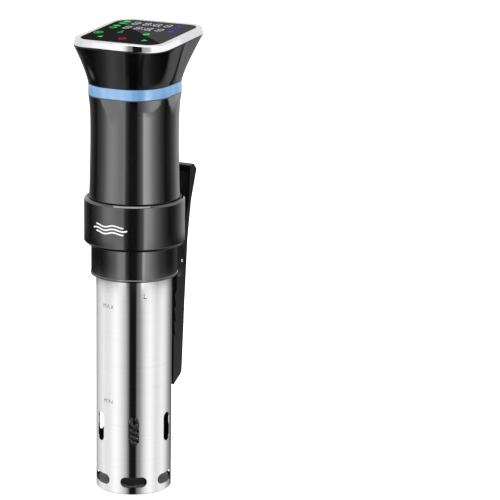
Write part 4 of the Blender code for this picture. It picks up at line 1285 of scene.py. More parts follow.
    def steak(self, x: float, y: float) -> list[list[Point]]:
        """Return a steak: a lobed outline with its marbling left dark."""
        count = 36
        half_w, half_h, hollow = 3.1, 2.1, 0.55
        edge = []
        for k in range(count):
            angle = FULL_TURN * k / count
            lobe = 1.0 + 0.12 * math.sin(2.0 * angle + 0.6) + 0.06 * math.sin(3.0 * angle)
            edge.append((half_w * lobe * math.cos(angle), half_h * lobe * math.sin(angle)))
        quads = []
        for k in range(count):
            first, second = edge[k], edge[(k + 1) % count]
            corners = ((first, hollow), (first, 1.0), (second, 1.0), (second, hollow))
            quads.append([(x + size * across, y + size * up) for (across, up), size in corners])
        return quads + [ellipse(x + 0.6, y + 0.1, 0.8, 0.5, 16)]

    def flame(self, x: float, y: float) -> list[list[Point]]:
        """Return a flame with three tongues."""
        tongues = []
        for shift, height, width in ((0.0, 5.3, 1.5), (-1.55, 3.4, 0.95), (1.55, 3.6, 0.95)):
            left = []
            right = []
            for k in range(9):
                share = k / 8.0
                half = width * math.sin(math.pi * (0.18 + 0.82 * share)) * (1.0 - 0.25 * share)
                lean = 0.45 * math.sin(math.pi * share)
                left.append((x + shift - half + lean, y - 2.6 + height * share))
                right.append((x + shift + half + lean, y - 2.6 + height * share))
            tongues.append(right + left[::-1])
        return tongues

    def thermometer(self, x: float, y: float) -> list[list[Point]]:
        """Return a thermometer drawn as an outline."""
        bulb = arc(x, y - 1.45, 1.6, 0.62, -238, 58, 30)
        stem = [bar(x - 0.85, y + 1.45, 3.3, 0.55, 90), bar(x + 0.85, y + 1.45, 3.3, 0.55, 90),
                bar(x, y + 3.0, 2.2, 0.62)]
        return bulb + stem

    def timer(self, x: float, y: float) -> list[list[Point]]:
        """Return a stopwatch with its hand left dark."""
        face = arc(x, y - 0.2, 2.1, 1.6, 0, 360, 40)
        disc = arc(x, y - 0.2, 0.95, 0.75, -20, 250, 24)
        crown = [bar(x, y + 3.35, 2.0, 0.5), bar(x, y + 2.95, 0.7, 0.6)]
        return face + disc + crown


# ---------------------------------------------------------------- collar and clamp

@dataclass
class Collar:
    """The gloss collar below the grip that the clamp ring slides on.

    Args:
        shoulder: The height where the grip sits on it.
        bead: How far the bead at the lower edge stands out.
        spigot: The radius of the part that stands inside the grip.
        top: The height of that part's upper edge.
        bore: The inner radius above the deck.
        deck: The lower and upper height of the deck that carries the heater base.
        deck_bore: The radius of the hole in the deck.
        skirt_bore: The inner radius below the deck, where the sleeve goes in.
    """

    radius: float = 33.9 * MM
    bottom: float = 174.6 * MM
    shoulder: float = 236.3 * MM
    bead: float = 0.4 * MM
    spigot: float = 32.7 * MM
    top: float = 246.0 * MM
    bore: float = 31.0 * MM
    deck: tuple[float, float] = (190.3 * MM, 193.5 * MM)
    deck_bore: float = 19.0 * MM
    skirt_bore: float = 30.5 * MM

    def build(self) -> None:
        """Make the collar with its small bead at the lower edge."""
        proud = self.radius + self.bead
        under, over = self.deck
        corners = [
            (self.radius - 0.1 * MM, self.bottom, 0.25 * MM), (proud, self.bottom + 0.4 * MM, 0.3 * MM),
            (proud, self.bottom + 1.5 * MM, 0.3 * MM), (self.radius, self.bottom + 1.9 * MM, 0.3 * MM),
            (self.radius, self.shoulder, 0.3 * MM), (self.spigot, self.shoulder, 0.0),
            (self.spigot, self.top, 0.0), (self.bore, self.top, 0.0), (self.bore, over, 0.0),
            (self.deck_bore, over, 0.0), (self.deck_bore, under, 0.0), (self.skirt_bore, under, 0.0),
            (self.skirt_bore, self.bottom + 0.6 * MM, 0.2 * MM), (30.9 * MM, self.bottom, 0.2 * MM),
        ]
        piece("collar", turned(rounded(corners)), GLOSS_BLACK, Body.HOUSING, ["base_collar"])


@dataclass
class ClampRing:
    """The outer ring of the clamp with its printed mark, and the split bush inside it.

    Args:
        seat: The ring's inner radius beside the bush's flanges.
        rib: The inner radius of its rib, which runs in the bush's groove.
        mark_height: The height of the printed mark's middle.
        mark_half: The mark's half-width as a bearing in degrees.
        bush_bore: The bush's inner radius.
        bush_wall: The radius of its groove's floor.
        bush_flange: The radius of its two flanges.
        bush_levels: The heights of its lower edge, of its groove's two sides and of its upper edge.
        slit: The width of the bush's slit in millimetres.
    """

    radius: float = 39.48 * MM
    bottom: float = 199.8 * MM
    top: float = 236.1 * MM
    seat: float = 36.9 * MM
    rib: float = 35.9 * MM
    rib_low: float = 201.6 * MM
    rib_high: float = 234.6 * MM
    mark_height: float = 217.0 * MM
    mark_half: float = 22.0
    bush_bore: float = 34.45 * MM
    bush_wall: float = 35.6 * MM
    bush_flange: float = 36.6 * MM
    bush_levels: tuple[float, ...] = (200.3 * MM, 201.3 * MM, 234.9 * MM, 235.8 * MM)
    slit: float = 3.0

    def build(self) -> None:
        """Make the ring, its mark and the bush."""
        r = self.radius
        corners = [
            (self.seat, self.bottom, 0.2 * MM), (r - 1.8 * MM, self.bottom, 0.8 * MM),
            (r, self.bottom + 2.0 * MM, 1.3 * MM), (r, self.top - 1.3 * MM, 0.9 * MM),
            (r - 1.2 * MM, self.top, 0.7 * MM), (self.seat, self.top, 0.25 * MM),
            (self.seat, self.rib_high, 0.0), (self.rib, self.rib_high, 0.0),
            (self.rib, self.rib_low, 0.0), (self.seat, self.rib_low, 0.0),
        ]
        piece("outer_ring", turned(rounded(corners, 6)), RING_BLACK, Body.RING, ["clamp_ring"])
        self.mark()
        self.bush()

    def bush(self) -> None:
        """Make the split bush that grips the collar."""
        low, groove_low, groove_high, high = self.bush_levels
        outline = rounded([
            (self.bush_bore, low, 0.2 * MM), (self.bush_flange, low, 0.2 * MM),
            (self.bush_flange, groove_low, 0.1 * MM), (self.bush_wall, groove_low, 0.0),
            (self.bush_wall, groove_high, 0.0), (self.bush_flange, groove_high, 0.1 * MM),
            (self.bush_flange, high, 0.2 * MM), (self.bush_bore, high, 0.2 * MM),
        ])
        slit = plate([bar(0.0, 35.0, self.slit, 10.0)], Matrix.Scale(MM, 4), 190.0, 245.0)
        piece("split_bush", carve(turned(outline), [slit]), SATIN_BLACK, Body.BUSH, ["grip_bush"])

    def mark(self) -> None:
        """Print a plain wave mark, three lines of water, round the ring's front."""
        outer = self.radius + 0.06 * MM
        inner = self.radius - 0.05 * MM
        apart, swell, waves, stroke, steps = 2.7, 0.75, 16.0, 0.55 * MM, 96
        meshes = []
        for line, share in ((-1, 0.8), (0, 1.0), (1, 0.8)):
            half = self.mark_half * share
            rings = []
            for k in range(steps + 1):
                degrees = mix(-half, half, k / steps)
                rise = apart * line + swell * math.sin(math.radians(degrees) * waves)
                rings.append([bearing(degrees, radius, self.mark_height + rise * MM + side * stroke)
                              for radius, side in ((inner, -1), (outer, -1), (outer, 1), (inner, 1))])
            meshes.append(lofted(rings, closed=False))
        piece("wave_mark", joined(meshes), WHITE_PRINT, Body.RING)


PIN_BACK = 47.5 * MM
PIN_HEIGHT = 176.0 * MM


def pin_matrix() -> Matrix:
    """Return the frame of the lever's pin, whose Z axis runs along X."""
    return Matrix.Translation((0.0, PIN_BACK, PIN_HEIGHT)) @ Matrix.Rotation(math.radians(90.0), 4, "Y")


def screw_mesh(head: float, rise: float, shank: float, length: float) -> bpy.types.Mesh:
    """Return a domed screw with a cross recess, its head above the origin and its shank below."""
    corners = [(0.0, rise, 0.0), (head * 0.55, rise * 0.96, rise * 0.8),
               (head * 0.93, rise * 0.45, rise * 0.5), (head, 0.0, 0.05 * MM), (shank, 0.0, 0.0),
               (shank, 0.3 * MM - length, 0.1 * MM), (shank * 0.7, -length, 0.0), (0.0, -length, 0.0)]
    outline = rounded(corners, 3)
    slots = [plate([bar(0.0, 0.0, head * 1.1, head * 0.26, turn)], Matrix.Identity(4), rise * 0.5, rise * 1.6)
             for turn in (0.0, 90.0)]
    return carve(turned(outline, 32, closed=False), slots)


@dataclass
class Clip:
    """The pot clip: bracket, screws, pin, spring and lever."""

    shop: Workshop
    screw_back: float = 43.3 * MM
    screw_heights: tuple[float, float] = (208.0 * MM, 228.0 * MM)
    pin_half: float = 17.1 * MM
    pin_radius: float = 1.5 * MM
    spring_half: float = 6.5 * MM
    spring_radius: float = 3.0 * MM
    spring_turns: float = 6.5
    wire: float = 0.6 * MM

    def build(self) -> None:
        """Make every piece of the clip."""
        piece("clip_bracket_body", softened("clip_bracket", 0.5 * MM), RING_BLACK, Body.RING,
              ["clip_bracket"])
        piece("squeeze_lever", softened("clip_lever", 0.45 * MM), LEVER_BLACK, Body.LEVER, ["clip_lever"])
        for number, height in enumerate(self.screw_heights, 1):
            screw = screw_mesh(2.75 * MM, 1.65 * MM, 1.0 * MM, 5.3 * MM)
            turn = Matrix.Rotation(math.radians(-90.0), 4, "X")
            screw.transform(Matrix.Translation((0.0, self.screw_back, height)) @ turn)
            node = "bracket_screw_" + str(number)
            piece(node + "_head", screw, PLAIN_STEEL, Body.RING, [node])
        self.pin()
        self.spring()

    def pin(self) -> None:
        """Make the polished pin with rounded ends."""
        half, r, tip = self.pin_half, self.pin_radius, 0.6 * MM
        corners = [(0.0, -half, 0.0), (r, -half, tip), (r, half, tip), (0.0, half, 0.0)]
        piece("hinge_pin", turned(rounded(corners), 32, pin_matrix(), closed=False), CHROME, Body.RING,
              ["clip_pin"])

    def spring(self) -> None:
        """Make the torsion spring, whose legs run from the bracket to the lever."""
        half, r = self.spring_half, self.spring_radius
        count = 156
        path = [Vector((-half, 44.3 * MM, 192 * MM)), Vector((-half, 44.4 * MM, 184 * MM))]
        for k in range(count + 1):
            share = k / count
            angle = FULL_TURN * (self.spring_turns * share - 0.25)
            spot = Vector((r * math.cos(angle), r * math.sin(angle), mix(-half, half, share)))
            path.append(pin_matrix() @ spot)
        path += [Vector((half, 51.2 * MM, 182 * MM)), Vector((half, 57 * MM, 196 * MM))]
        mesh = self.shop.swept(path, self.wire, 8, PLAIN_STEEL)
        made = dressed("torsion_spring", mesh, PLAIN_STEEL, 0.0)
        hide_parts("clip_spring")
        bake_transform(made)


# ---------------------------------------------------------------- sleeve and wet end

@dataclass
class Sleeve:
    """The slotted steel sleeve with its etched level marks, detent stud and end cap.

    Args:
        tall: A tall slot's width and its lower and upper height.
        wide: A wide slot's width and its lower and upper height.
        marks: Each level mark's name, text and height.
        mark_bearing: The bearing of the marks' middle.
        cap_high: The height of the end cap's rim.
        cap_floor: The height of its recess.
        intakes: How many intake holes it has.
    """

    radius: float = 30.0 * MM
    wall: float = 0.8 * MM
    bottom: float = 0.3 * MM
    top: float = 185.2 * MM
    tall: tuple[float, float, float] = (8.4 * MM, 40.8 * MM, 64.3 * MM)
    wide: tuple[float, float, float] = (21.0 * MM, 6.0 * MM, 14.4 * MM)
    tall_bearings: tuple[float, ...] = (30.0, 90.0, 210.0, 270.0, 330.0)
    wide_bearings: tuple[float, ...] = (30.0, 90.0, 150.0, 210.0, 270.0, 330.0)
    stud_bearing: float = 46.5
    stud_height: float = 162.4 * MM
    marks: tuple[tuple[str, str, float], ...] = (
        ("level_mark_max", "MAX", 153.0 * MM), ("level_mark_min", "MIN", 75.6 * MM))
    mark_bearing: float = -12.4
    mark_size: float = 4.9 * MM
    cap_radius: float = 28.9 * MM
    cap_high: float = 5.0 * MM
    cap_floor: float = 2.0 * MM
    intakes: int = 8

    def build(self) -> None:
        """Make the sleeve's pieces."""
        inner = self.radius - self.wall
        lip = 0.25 * MM
        corners = [(inner, self.bottom, lip), (self.radius, self.bottom, lip), (self.radius, self.top, lip),
                   (inner, self.top, lip)]
        plugs = [self.plug(turn, *self.tall) for turn in self.tall_bearings]
        plugs += [self.plug(turn, *self.wide) for turn in self.wide_bearings]
        tube = carve(turned(rounded(corners, 3), 256), [joined(plugs), self.stud_hole()])
        sleeve = piece("steel_sleeve", tube, SLEEVE_STEEL, Body.SLEEVE, ["sleeve"], sharp=50.0)
        lean_normals(sleeve.data, 1.0)
        self.stud()
        self.cap()
        for name, text, height in self.marks:
            self.etched(name, text, height)

    def plug(self, turn: float, width: float, low: float, high: float) -> bpy.types.Mesh:
        """Return a slot-shaped plug that passes through the wall at a bearing."""
        half_w, half_h = width / 2.0, (high - low) / 2.0
        radius = min(half_w, half_h) * 0.999
        corners = [(-half_w, -half_h, radius), (half_w, -half_h, radius), (half_w, half_h, radius),
                   (-half_w, half_h, radius)]
        outline = rounded(corners, 10)
        rise = Matrix.Translation((0.0, 0.0, (low + high) / 2.0))
        matrix = rise @ Matrix.Rotation(math.radians(turn), 4, "Z")
        rings = [[matrix @ Vector((x, -y, z)) for x, z in outline]
                 for y in (self.radius - self.wall - 4.0 * MM, self.radius + 2.0 * MM)]
        return lofted(rings, closed=False)

    def stud_matrix(self) -> Matrix:
        """Return the frame of the detent stud, whose Z axis points out of the sleeve."""
        turn = Matrix.Rotation(math.radians(self.stud_bearing), 4, "Z")
        outwards = Matrix.Rotation(math.radians(90.0), 4, "X")
        return Matrix.Translation((0.0, 0.0, self.stud_height)) @ turn @ outwards

    def stud_hole(self) -> bpy.types.Mesh:
        """Return the plug for the stud's hole."""
        hole, inside, outside = 1.3 * MM, 26 * MM, 32 * MM
        outline = [(0.0, inside), (hole, inside), (hole, outside), (0.0, outside)]
        return turned(outline, 32, self.stud_matrix(), closed=False)

    def stud(self) -> None:
        """Make the domed detent stud."""
        face = self.radius + 0.12 * MM
        corners = [(0.0, self.radius - self.wall - 0.25 * MM, 0.0), (1.0 * MM, 28.95 * MM, 0.2 * MM),
                   (1.0 * MM, face, 0.0), (1.8 * MM, face, 0.1 * MM), (1.65 * MM, face + 0.45 * MM, 0.4 * MM),
                   (0.9 * MM, face + 0.85 * MM, 0.8 * MM), (0.0, face + 0.9 * MM, 0.0)]
        piece("detent_stud", turned(rounded(corners, 4), 40, self.stud_matrix(), closed=False), CHROME,
              Body.SLEEVE, ["sleeve_stud"])

    def cap(self) -> None:
        """Make the end cap with its ring of intake holes."""
        edge, high, floor, deck = self.cap_radius, self.cap_high, self.cap_floor, 4.4 * MM
        corners = [(0.0, 0.0, 0.0), (edge, 0.0, 0.6 * MM), (edge, high, 0.4 * MM),
                   (edge - 1.6 * MM, high, 0.2 * MM), (edge - 2.0 * MM, deck, 0.2 * MM),
                   (18.0 * MM, deck, 0.5 * MM), (17.6 * MM, floor, 0.3 * MM), (0.0, floor, 0.0)]
        hole, under, over = 4.0 * MM, -1.0 * MM, 6.0 * MM
        outline = [(0.0, under), (hole, under), (hole, over), (0.0, over)]
        holes = []
        for k in range(self.intakes):
            spot = bearing(360.0 * (k + 0.5) / self.intakes, 17.0 * MM, 0.0)
            holes.append(turned(outline, 40, Matrix.Translation(spot), closed=False))
        cap = carve(turned(rounded(corners), 128, closed=False), [joined(holes)])
        piece("sleeve_end_cap", cap, CAP_GREY, Body.SLEEVE, ["end_cap"])

    def etched(self, name: str, text: str, height: float) -> None:
        """Etch a level mark into the sleeve's front, wrapped round it."""
        curve = bpy.data.curves.new("work", "FONT")
        curve.body = text
        curve.size = self.mark_size
        curve.align_x = "CENTER"
        curve.space_character = 1.15
        curve.extrude = 0.04 * MM
        holder = linked("work", curve)
        mesh = evaluated(holder)
        bpy.data.objects.remove(holder, do_unlink=True)
        half_high = 1.7 * MM
        for vertex in mesh.vertices:
            degrees = self.mark_bearing + math.degrees(vertex.co.x / self.radius)
            radius = self.radius + vertex.co.z
            vertex.co = bearing(degrees, radius, height + vertex.co.y - half_high)
        piece(name, merged(mesh, 1e-6), ETCHED_GREY, Body.SLEEVE, sharp=0.0)


@dataclass
class WetEnd:
    """What hangs in the water inside the sleeve: heater, probes, shaft guide and impeller.

    Args:
        tube: The radius of the heater's tube.
        high: The height where the first strand's winding begins.
        pitch: How far the winding drops in a turn.
        turns: How many turns each strand has.
        slant: How steeply the winding leans.
        front: The bearing it leans away from.
        legs: The bearings of its two legs.
        leg_top: The height of the legs' upper ends.
        probe_radius: How far the probes are from the axis.
        disc: The impeller's lower height.
        blade_top: The height of its blades' inner ends.
    """

    shop: Workshop
    coil_radius: float = 11.5 * MM
    tube: float = 1.45 * MM
    high: float = 55.1 * MM
    pitch: float = 9.2 * MM
    turns: float = 2.03
    slant: float = 0.45
    front: float = 30.0
    legs: tuple[float, float] = (18.0, 42.0)
    leg_top: float = 196.0 * MM
    probe_radius: float = 16.6 * MM
    probe_top: float = 193.7 * MM
    disc: float = 12.5 * MM
    blade_top: float = 26.0 * MM
    blades: int = 6
    shaft: float = 2.0 * MM

    def build(self) -> None:
        """Make the wet end's pieces."""
        self.coil()
        self.impeller()
        self.guide()
        for name, degrees, radius, tip in (("temp_probe", 170.0, 2.0 * MM, 52.0 * MM),
                                           ("level_probe_long", 210.0, 1.5 * MM, 72.0 * MM),
                                           ("level_probe_short", 300.0, 1.5 * MM, 150.0 * MM)):
            spot = Matrix.Translation(bearing(degrees, self.probe_radius, 0.0))
            corners = [(0.0, tip, 0.0), (radius, tip, radius * 0.8), (radius, self.probe_top, 0.2 * MM),
                       (0.0, self.probe_top, 0.0)]
            piece(name + "_rod", turned(rounded(corners), 32, spot, closed=False), WET_STEEL, Body.HOUSING,
                  [name])

    def coil_point(self, start: float, high: float, turns: float) -> Vector:
        """Return the point of the slanted winding some turns on from its starting bearing."""
        degrees = start + 360.0 * turns
        slant = self.slant * self.coil_radius * math.sin(math.radians(degrees - self.front))
        return bearing(degrees, self.coil_radius, high - self.pitch * turns - slant)

    def strand(self, start: float, high: float, turns: float) -> list[Vector]:
        """Return the points from the top of a leg, round its bend and down one strand of the winding.

        Args:
            start: The leg's bearing.
            high: The height where the strand begins.
            turns: How many times it goes round.

        Returns:
            The points, from the top down.
        """
        bend = 3.0 * MM
        lead = bend / (FULL_TURN * self.coil_radius)
        corner = self.coil_point(start, high, 0.0)
        above = corner + Vector((0.0, 0.0, bend))
        after = self.coil_point(start, high, lead)
        top = Vector((corner.x, corner.y, self.leg_top))
        points = [top.lerp(above, k / 4.0) for k in range(5)]
        for k in range(1, 6):
            share = k / 6.0
            points.append(above.lerp(corner, share).lerp(corner.lerp(after, share), share))
        count = round(64 * turns)
        return points + [self.coil_point(start, high, mix(lead, turns, k / count)) for k in range(count + 1)]

    def coil(self) -> None:
        """Sweep the heating tube down one strand, back on itself and up the other."""
        second, first = self.legs
        apart = (first - second) / 360.0
        down = self.strand(first, self.high, self.turns)
        up = self.strand(second, self.high - self.pitch * (0.5 - apart), self.turns + apart)
        bulge = self.pitch / 4.0
        back = []
        for k in range(1, 10):
            angle = math.pi * k / 10.0
            past = bulge * math.sin(angle) / (FULL_TURN * self.coil_radius)
            point = self.coil_point(first, self.high, self.turns + past)
            back.append(point + Vector((0.0, 0.0, bulge * (math.cos(angle) - 1.0))))
        mesh = self.shop.swept(down + back + up[::-1], self.tube, 20, HEATER_STEEL)
        piece("heating_tube", mesh, HEATER_STEEL, Body.HOUSING, ["heater_coil"])

    def impeller(self) -> None:
        """Make the impeller with swept blades on its disc and hub, and its drive shaft."""
        low, high = self.disc, self.blade_top
        floor = low + 1.6 * MM
        bore, edge = 2.3 * MM, 19.0 * MM
        hub = rounded([(bore, low, 0.1 * MM), (edge, low, 0.4 * MM), (edge, floor, 0.4 * MM),
                       (5.5 * MM, floor, 1.0 * MM), (4.6 * MM, high + 1.0 * MM, 0.5 * MM),
                       (bore, high + 1.0 * MM, 0.2 * MM)])
        blades = [self.blade(360.0 * k / self.blades) for k in range(self.blades)]
        mesh = carve(turned(hub, 96), blades, "UNION")
        piece("impeller_wheel", mesh, SATIN_BLACK, Body.ROTOR, ["impeller"])
        tip, end = 10.5 * MM, 199.8 * MM
        corners = [(0.0, tip, 0.0), (self.shaft, tip, 0.5 * MM), (self.shaft, end, 0.2 * MM), (0.0, end, 0.0)]
        shaft = turned(rounded(corners), 32, closed=False)
        piece("long_shaft", shaft, PLAIN_STEEL, Body.ROTOR, ["drive_shaft"])

    def blade(self, start: float) -> bpy.types.Mesh:
        """Return one swept blade that leaves the hub at a bearing."""
        steps, sweep, drop = 8, 24.0, 3.0 * MM
        rings = []
        for step in range(steps + 1):
            share = step / steps
            out = bearing(start + sweep * share, 1.0, 0.0)
            across = Vector((-out.y, out.x, 0.0)) * 0.7 * MM
            centre = out * mix(4.3 * MM, 17.6 * MM, share)
            root = Vector((0.0, 0.0, self.disc + MM))
            top = Vector((0.0, 0.0, self.blade_top - drop * share))
            rings.append([centre - across + root, centre + across + root,
                          centre + across + top, centre - across + top])
        return lofted(rings, closed=False)

    def guide(self) -> None:
        """Make the tube round the shaft and its lower bush."""
        bore, outer, flange = 4.4 * MM, 5.2 * MM, 8.2 * MM
        low, step, high = 31 * MM, 180.5 * MM, 182 * MM
        tube = [(bore, low, 0.1 * MM), (outer, low, 0.2 * MM), (outer, step, 0.3 * MM),
                (flange, step, 0.2 * MM), (flange, high, 0.2 * MM), (bore, high, 0.1 * MM)]
        piece("shaft_guide_tube", turned(rounded(tube), 64), WET_STEEL, Body.HOUSING, ["shaft_tube"])
        bore, outer, spigot = 2.25 * MM, 5 * MM, 4.1 * MM
        low, step, high = 29 * MM, 30.7 * MM, 39 * MM
        bush = [(bore, low, 0.2 * MM), (outer, low, 0.3 * MM), (outer, step, 0.2 * MM),
                (spigot, step, 0.0), (spigot, high, 0.2 * MM), (bore, high, 0.2 * MM)]
        piece("shaft_bush", turned(rounded(bush), 48), PALE_PLASTIC, Body.HOUSING, ["lower_bush"])


# ---------------------------------------------------------------- hidden works

@dataclass
class Innards:
    """The works inside the casing: softened copies of the CAD nodes, and the lamps of the band."""

    shop: Workshop
    lamps: int = BAND_LAMPS
    flat_sided: tuple[tuple[str, Finish, float], ...] = (
        ("transformer", PALE_PLASTIC, 0.6 * MM), ("relay", SATIN_BLACK, 0.5 * MM),
        ("terminal_block", PALE_PLASTIC, 0.4 * MM), ("heat_sink", ALUMINIUM, 0.3 * MM),
        ("main_board", CIRCUIT_BOARD, 0.15 * MM), ("display_module", SATIN_BLACK, 0.4 * MM),
    )
    kept: tuple[tuple[str, Finish], ...] = (
        ("glass_gasket", GREY_RUBBER), ("display_board", CIRCUIT_BOARD), ("panel_frame", SATIN_BLACK),
        ("buzzer", SATIN_BLACK), ("lamp_board", CIRCUIT_BOARD), ("gland_nut", SATIN_BLACK),
        ("capacitor", SATIN_BLACK), ("motor", PLAIN_STEEL), ("motor_mount", PLAIN_STEEL),
        ("base_seal", GREY_RUBBER), ("sleeve_o_ring", GREY_RUBBER), ("shaft_seal", GREY_RUBBER),
        ("heater_base", WET_STEEL), ("motor_shaft", PLAIN_STEEL), ("shaft_coupling", BRASS),
    )
    lamp_radius: float = 27.5 * MM
    springs: tuple[Point, ...] = ((-23.5, -12.0), (-18.5, -23.0), (0.0, -23.5), (18.5, -23.0))

    def build(self, casing: Casing) -> None:
        """Dress or rebuild every hidden piece."""
        for node, finish, width in self.flat_sided:
            piece(node + "_block", softened(node, width), finish, Body.HOUSING, [node])
        screws = [f"{kind}_{n}" for kind, count in (("base_screw", 3), ("motor_screw", 2), ("board_screw", 2))
                  for n in range(1, count + 1)]
        for node, finish in [*self.kept, *((name, PLAIN_STEEL) for name in screws)]:
            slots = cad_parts[node].data.materials
            slots.clear()
            slots.append(finish.material())
        self.band_lamps(casing)
        self.touch_springs(casing)

    def band_lamps(self, casing: Casing) -> None:
        """Put a ring of lamp chips on the round board behind the light band."""
        place = Section(0.0, 0.0, casing.band.height + casing.band_rise / 2.0, casing.band.back,
                        casing.band.tilt).matrix()
        chip = plate([bar(0.0, 0.0, 2.8 * MM, 3.2 * MM)], Matrix.Identity(4), 0.65 * MM, 1.9 * MM)
        spots = []
        turns = []
        for k in range(self.lamps):
            angle = FULL_TURN * k / self.lamps
            spots.append(place @ (Vector((math.cos(angle), math.sin(angle), 0.0)) * self.lamp_radius))
            turns.append(Vector((casing.band.tilt, 0.0, angle)))
        piece("band_lamps", self.shop.copies(chip, spots, turns, PALE_PLASTIC), PALE_PLASTIC, Body.HOUSING,
              sharp=0.0)

    def touch_springs(self, casing: Casing) -> None:
        """Sweep the small springs that join the touch keys to their board."""
        place = casing.rim.matrix() @ Matrix.Scale(MM, 4)
        size, turns, low, high, steps = 2.6, 3.0, -9.4, -3.0, 72
        for number, (x, y) in enumerate(self.springs, 1):
            path = []
            for k in range(steps + 1):
                share = k / steps
                angle = FULL_TURN * turns * share
                path.append(place @ Vector((x + size * math.cos(angle), y + size * math.sin(angle),
                                            mix(low, high, share))))
            node = "touch_spring_" + str(number)
            piece(node + "_coil", self.shop.swept(path, 0.35 * MM, 8, BRASS), BRASS, Body.HOUSING, [node])


# ---------------------------------------------------------------- studio

@dataclass(frozen=True)
class LightRow:
    """One level of the studio's round light wall.

    Args:
        height: The row's height.
        share: How bright the row is.
        stops: Brightness stops as (bearing from the camera towards the right, strength).
    """

    height: float
    share: float
    stops: tuple[Point, ...]

    def strength(self, degrees: float) -> float:
        """Return the row's brightness at a bearing from the camera."""
        before = self.stops[0]
        for after in self.stops[1:]:
            if degrees <= after[0]:
                return self.share * mix(before[1], after[1], (degrees - before[0]) / (after[0] - before[0]))
            before = after
        return self.share * before[1]


CASING_STOPS: tuple[Point, ...] = (
    (-180, 0.3), (-138, 0.1), (-116, 0.02), (-98, 0.2), (-84, 0.5), (-71, 1.2), (-59, 1.5), (-47, 1.3),
    (-36, 1.05), (-26, 1.1), (-21, 0.25), (-12, 0.04), (5, 0.05), (14, 0.4), (19, 0.6), (24, 2.5), (36, 2.0),
    (47, 1.05), (59, 0.5), (71, 0.2), (84, 0.03), (98, 0.06), (115, 0.25), (138, 0.6), (180, 0.3),
)
COLLAR_STOPS: tuple[Point, ...] = (
    (-180, 0.05), (-116, 0.02), (-94, 0.02), (-78, 0.13), (-65, 0.36), (-52, 0.58), (-40, 1.35), (-27, 1.4),
    (-21, 0.25), (-12, 0.03), (5, 0.05), (14, 0.4), (19, 0.6), (24, 2.5), (30, 1.7), (36, 1.4), (47, 0.9),
    (59, 0.5), (71, 0.25), (84, 0.15), (98, 0.05), (115, 0.03), (138, 0.09), (180, 0.05),
)
STEEL_STOPS: tuple[Point, ...] = (
    (-180, 0.5), (-150, 0.6), (-128, 1.05), (-106, 1.35), (-92, 1.25), (-79, 1.3), (-57, 1.65), (-47, 1.5),
    (-37, 1.2), (-27, 0.85), (-20, 0.5), (-15, 0.2), (-12, 0.015), (5, 0.01), (9, 0.25), (19, 0.5), (29, 1.0),
    (39, 1.4), (49, 1.6), (59, 1.45), (70, 1.2), (82, 1.3), (94, 1.45), (109, 1.2), (127, 0.6), (155, 0.1),
    (180, 0.5),
)
CHROME_STOPS: tuple[Point, ...] = (
    (-180, 0.85), (-125, 0.85), (-110, 1.1), (-32, 1.2), (-22, 0.8), (-14, 0.3), (-7, 0.25), (-4, 0.01),
    (13, 0.01), (15, 0.4), (27, 0.55), (33, 1.15), (110, 1.1), (125, 0.85), (180, 0.85),
)
HIGH_STOPS: tuple[Point, ...] = (
    (-180, 0.85), (-125, 0.85), (-110, 0.95), (110, 0.95), (125, 0.85), (180, 0.85),
)


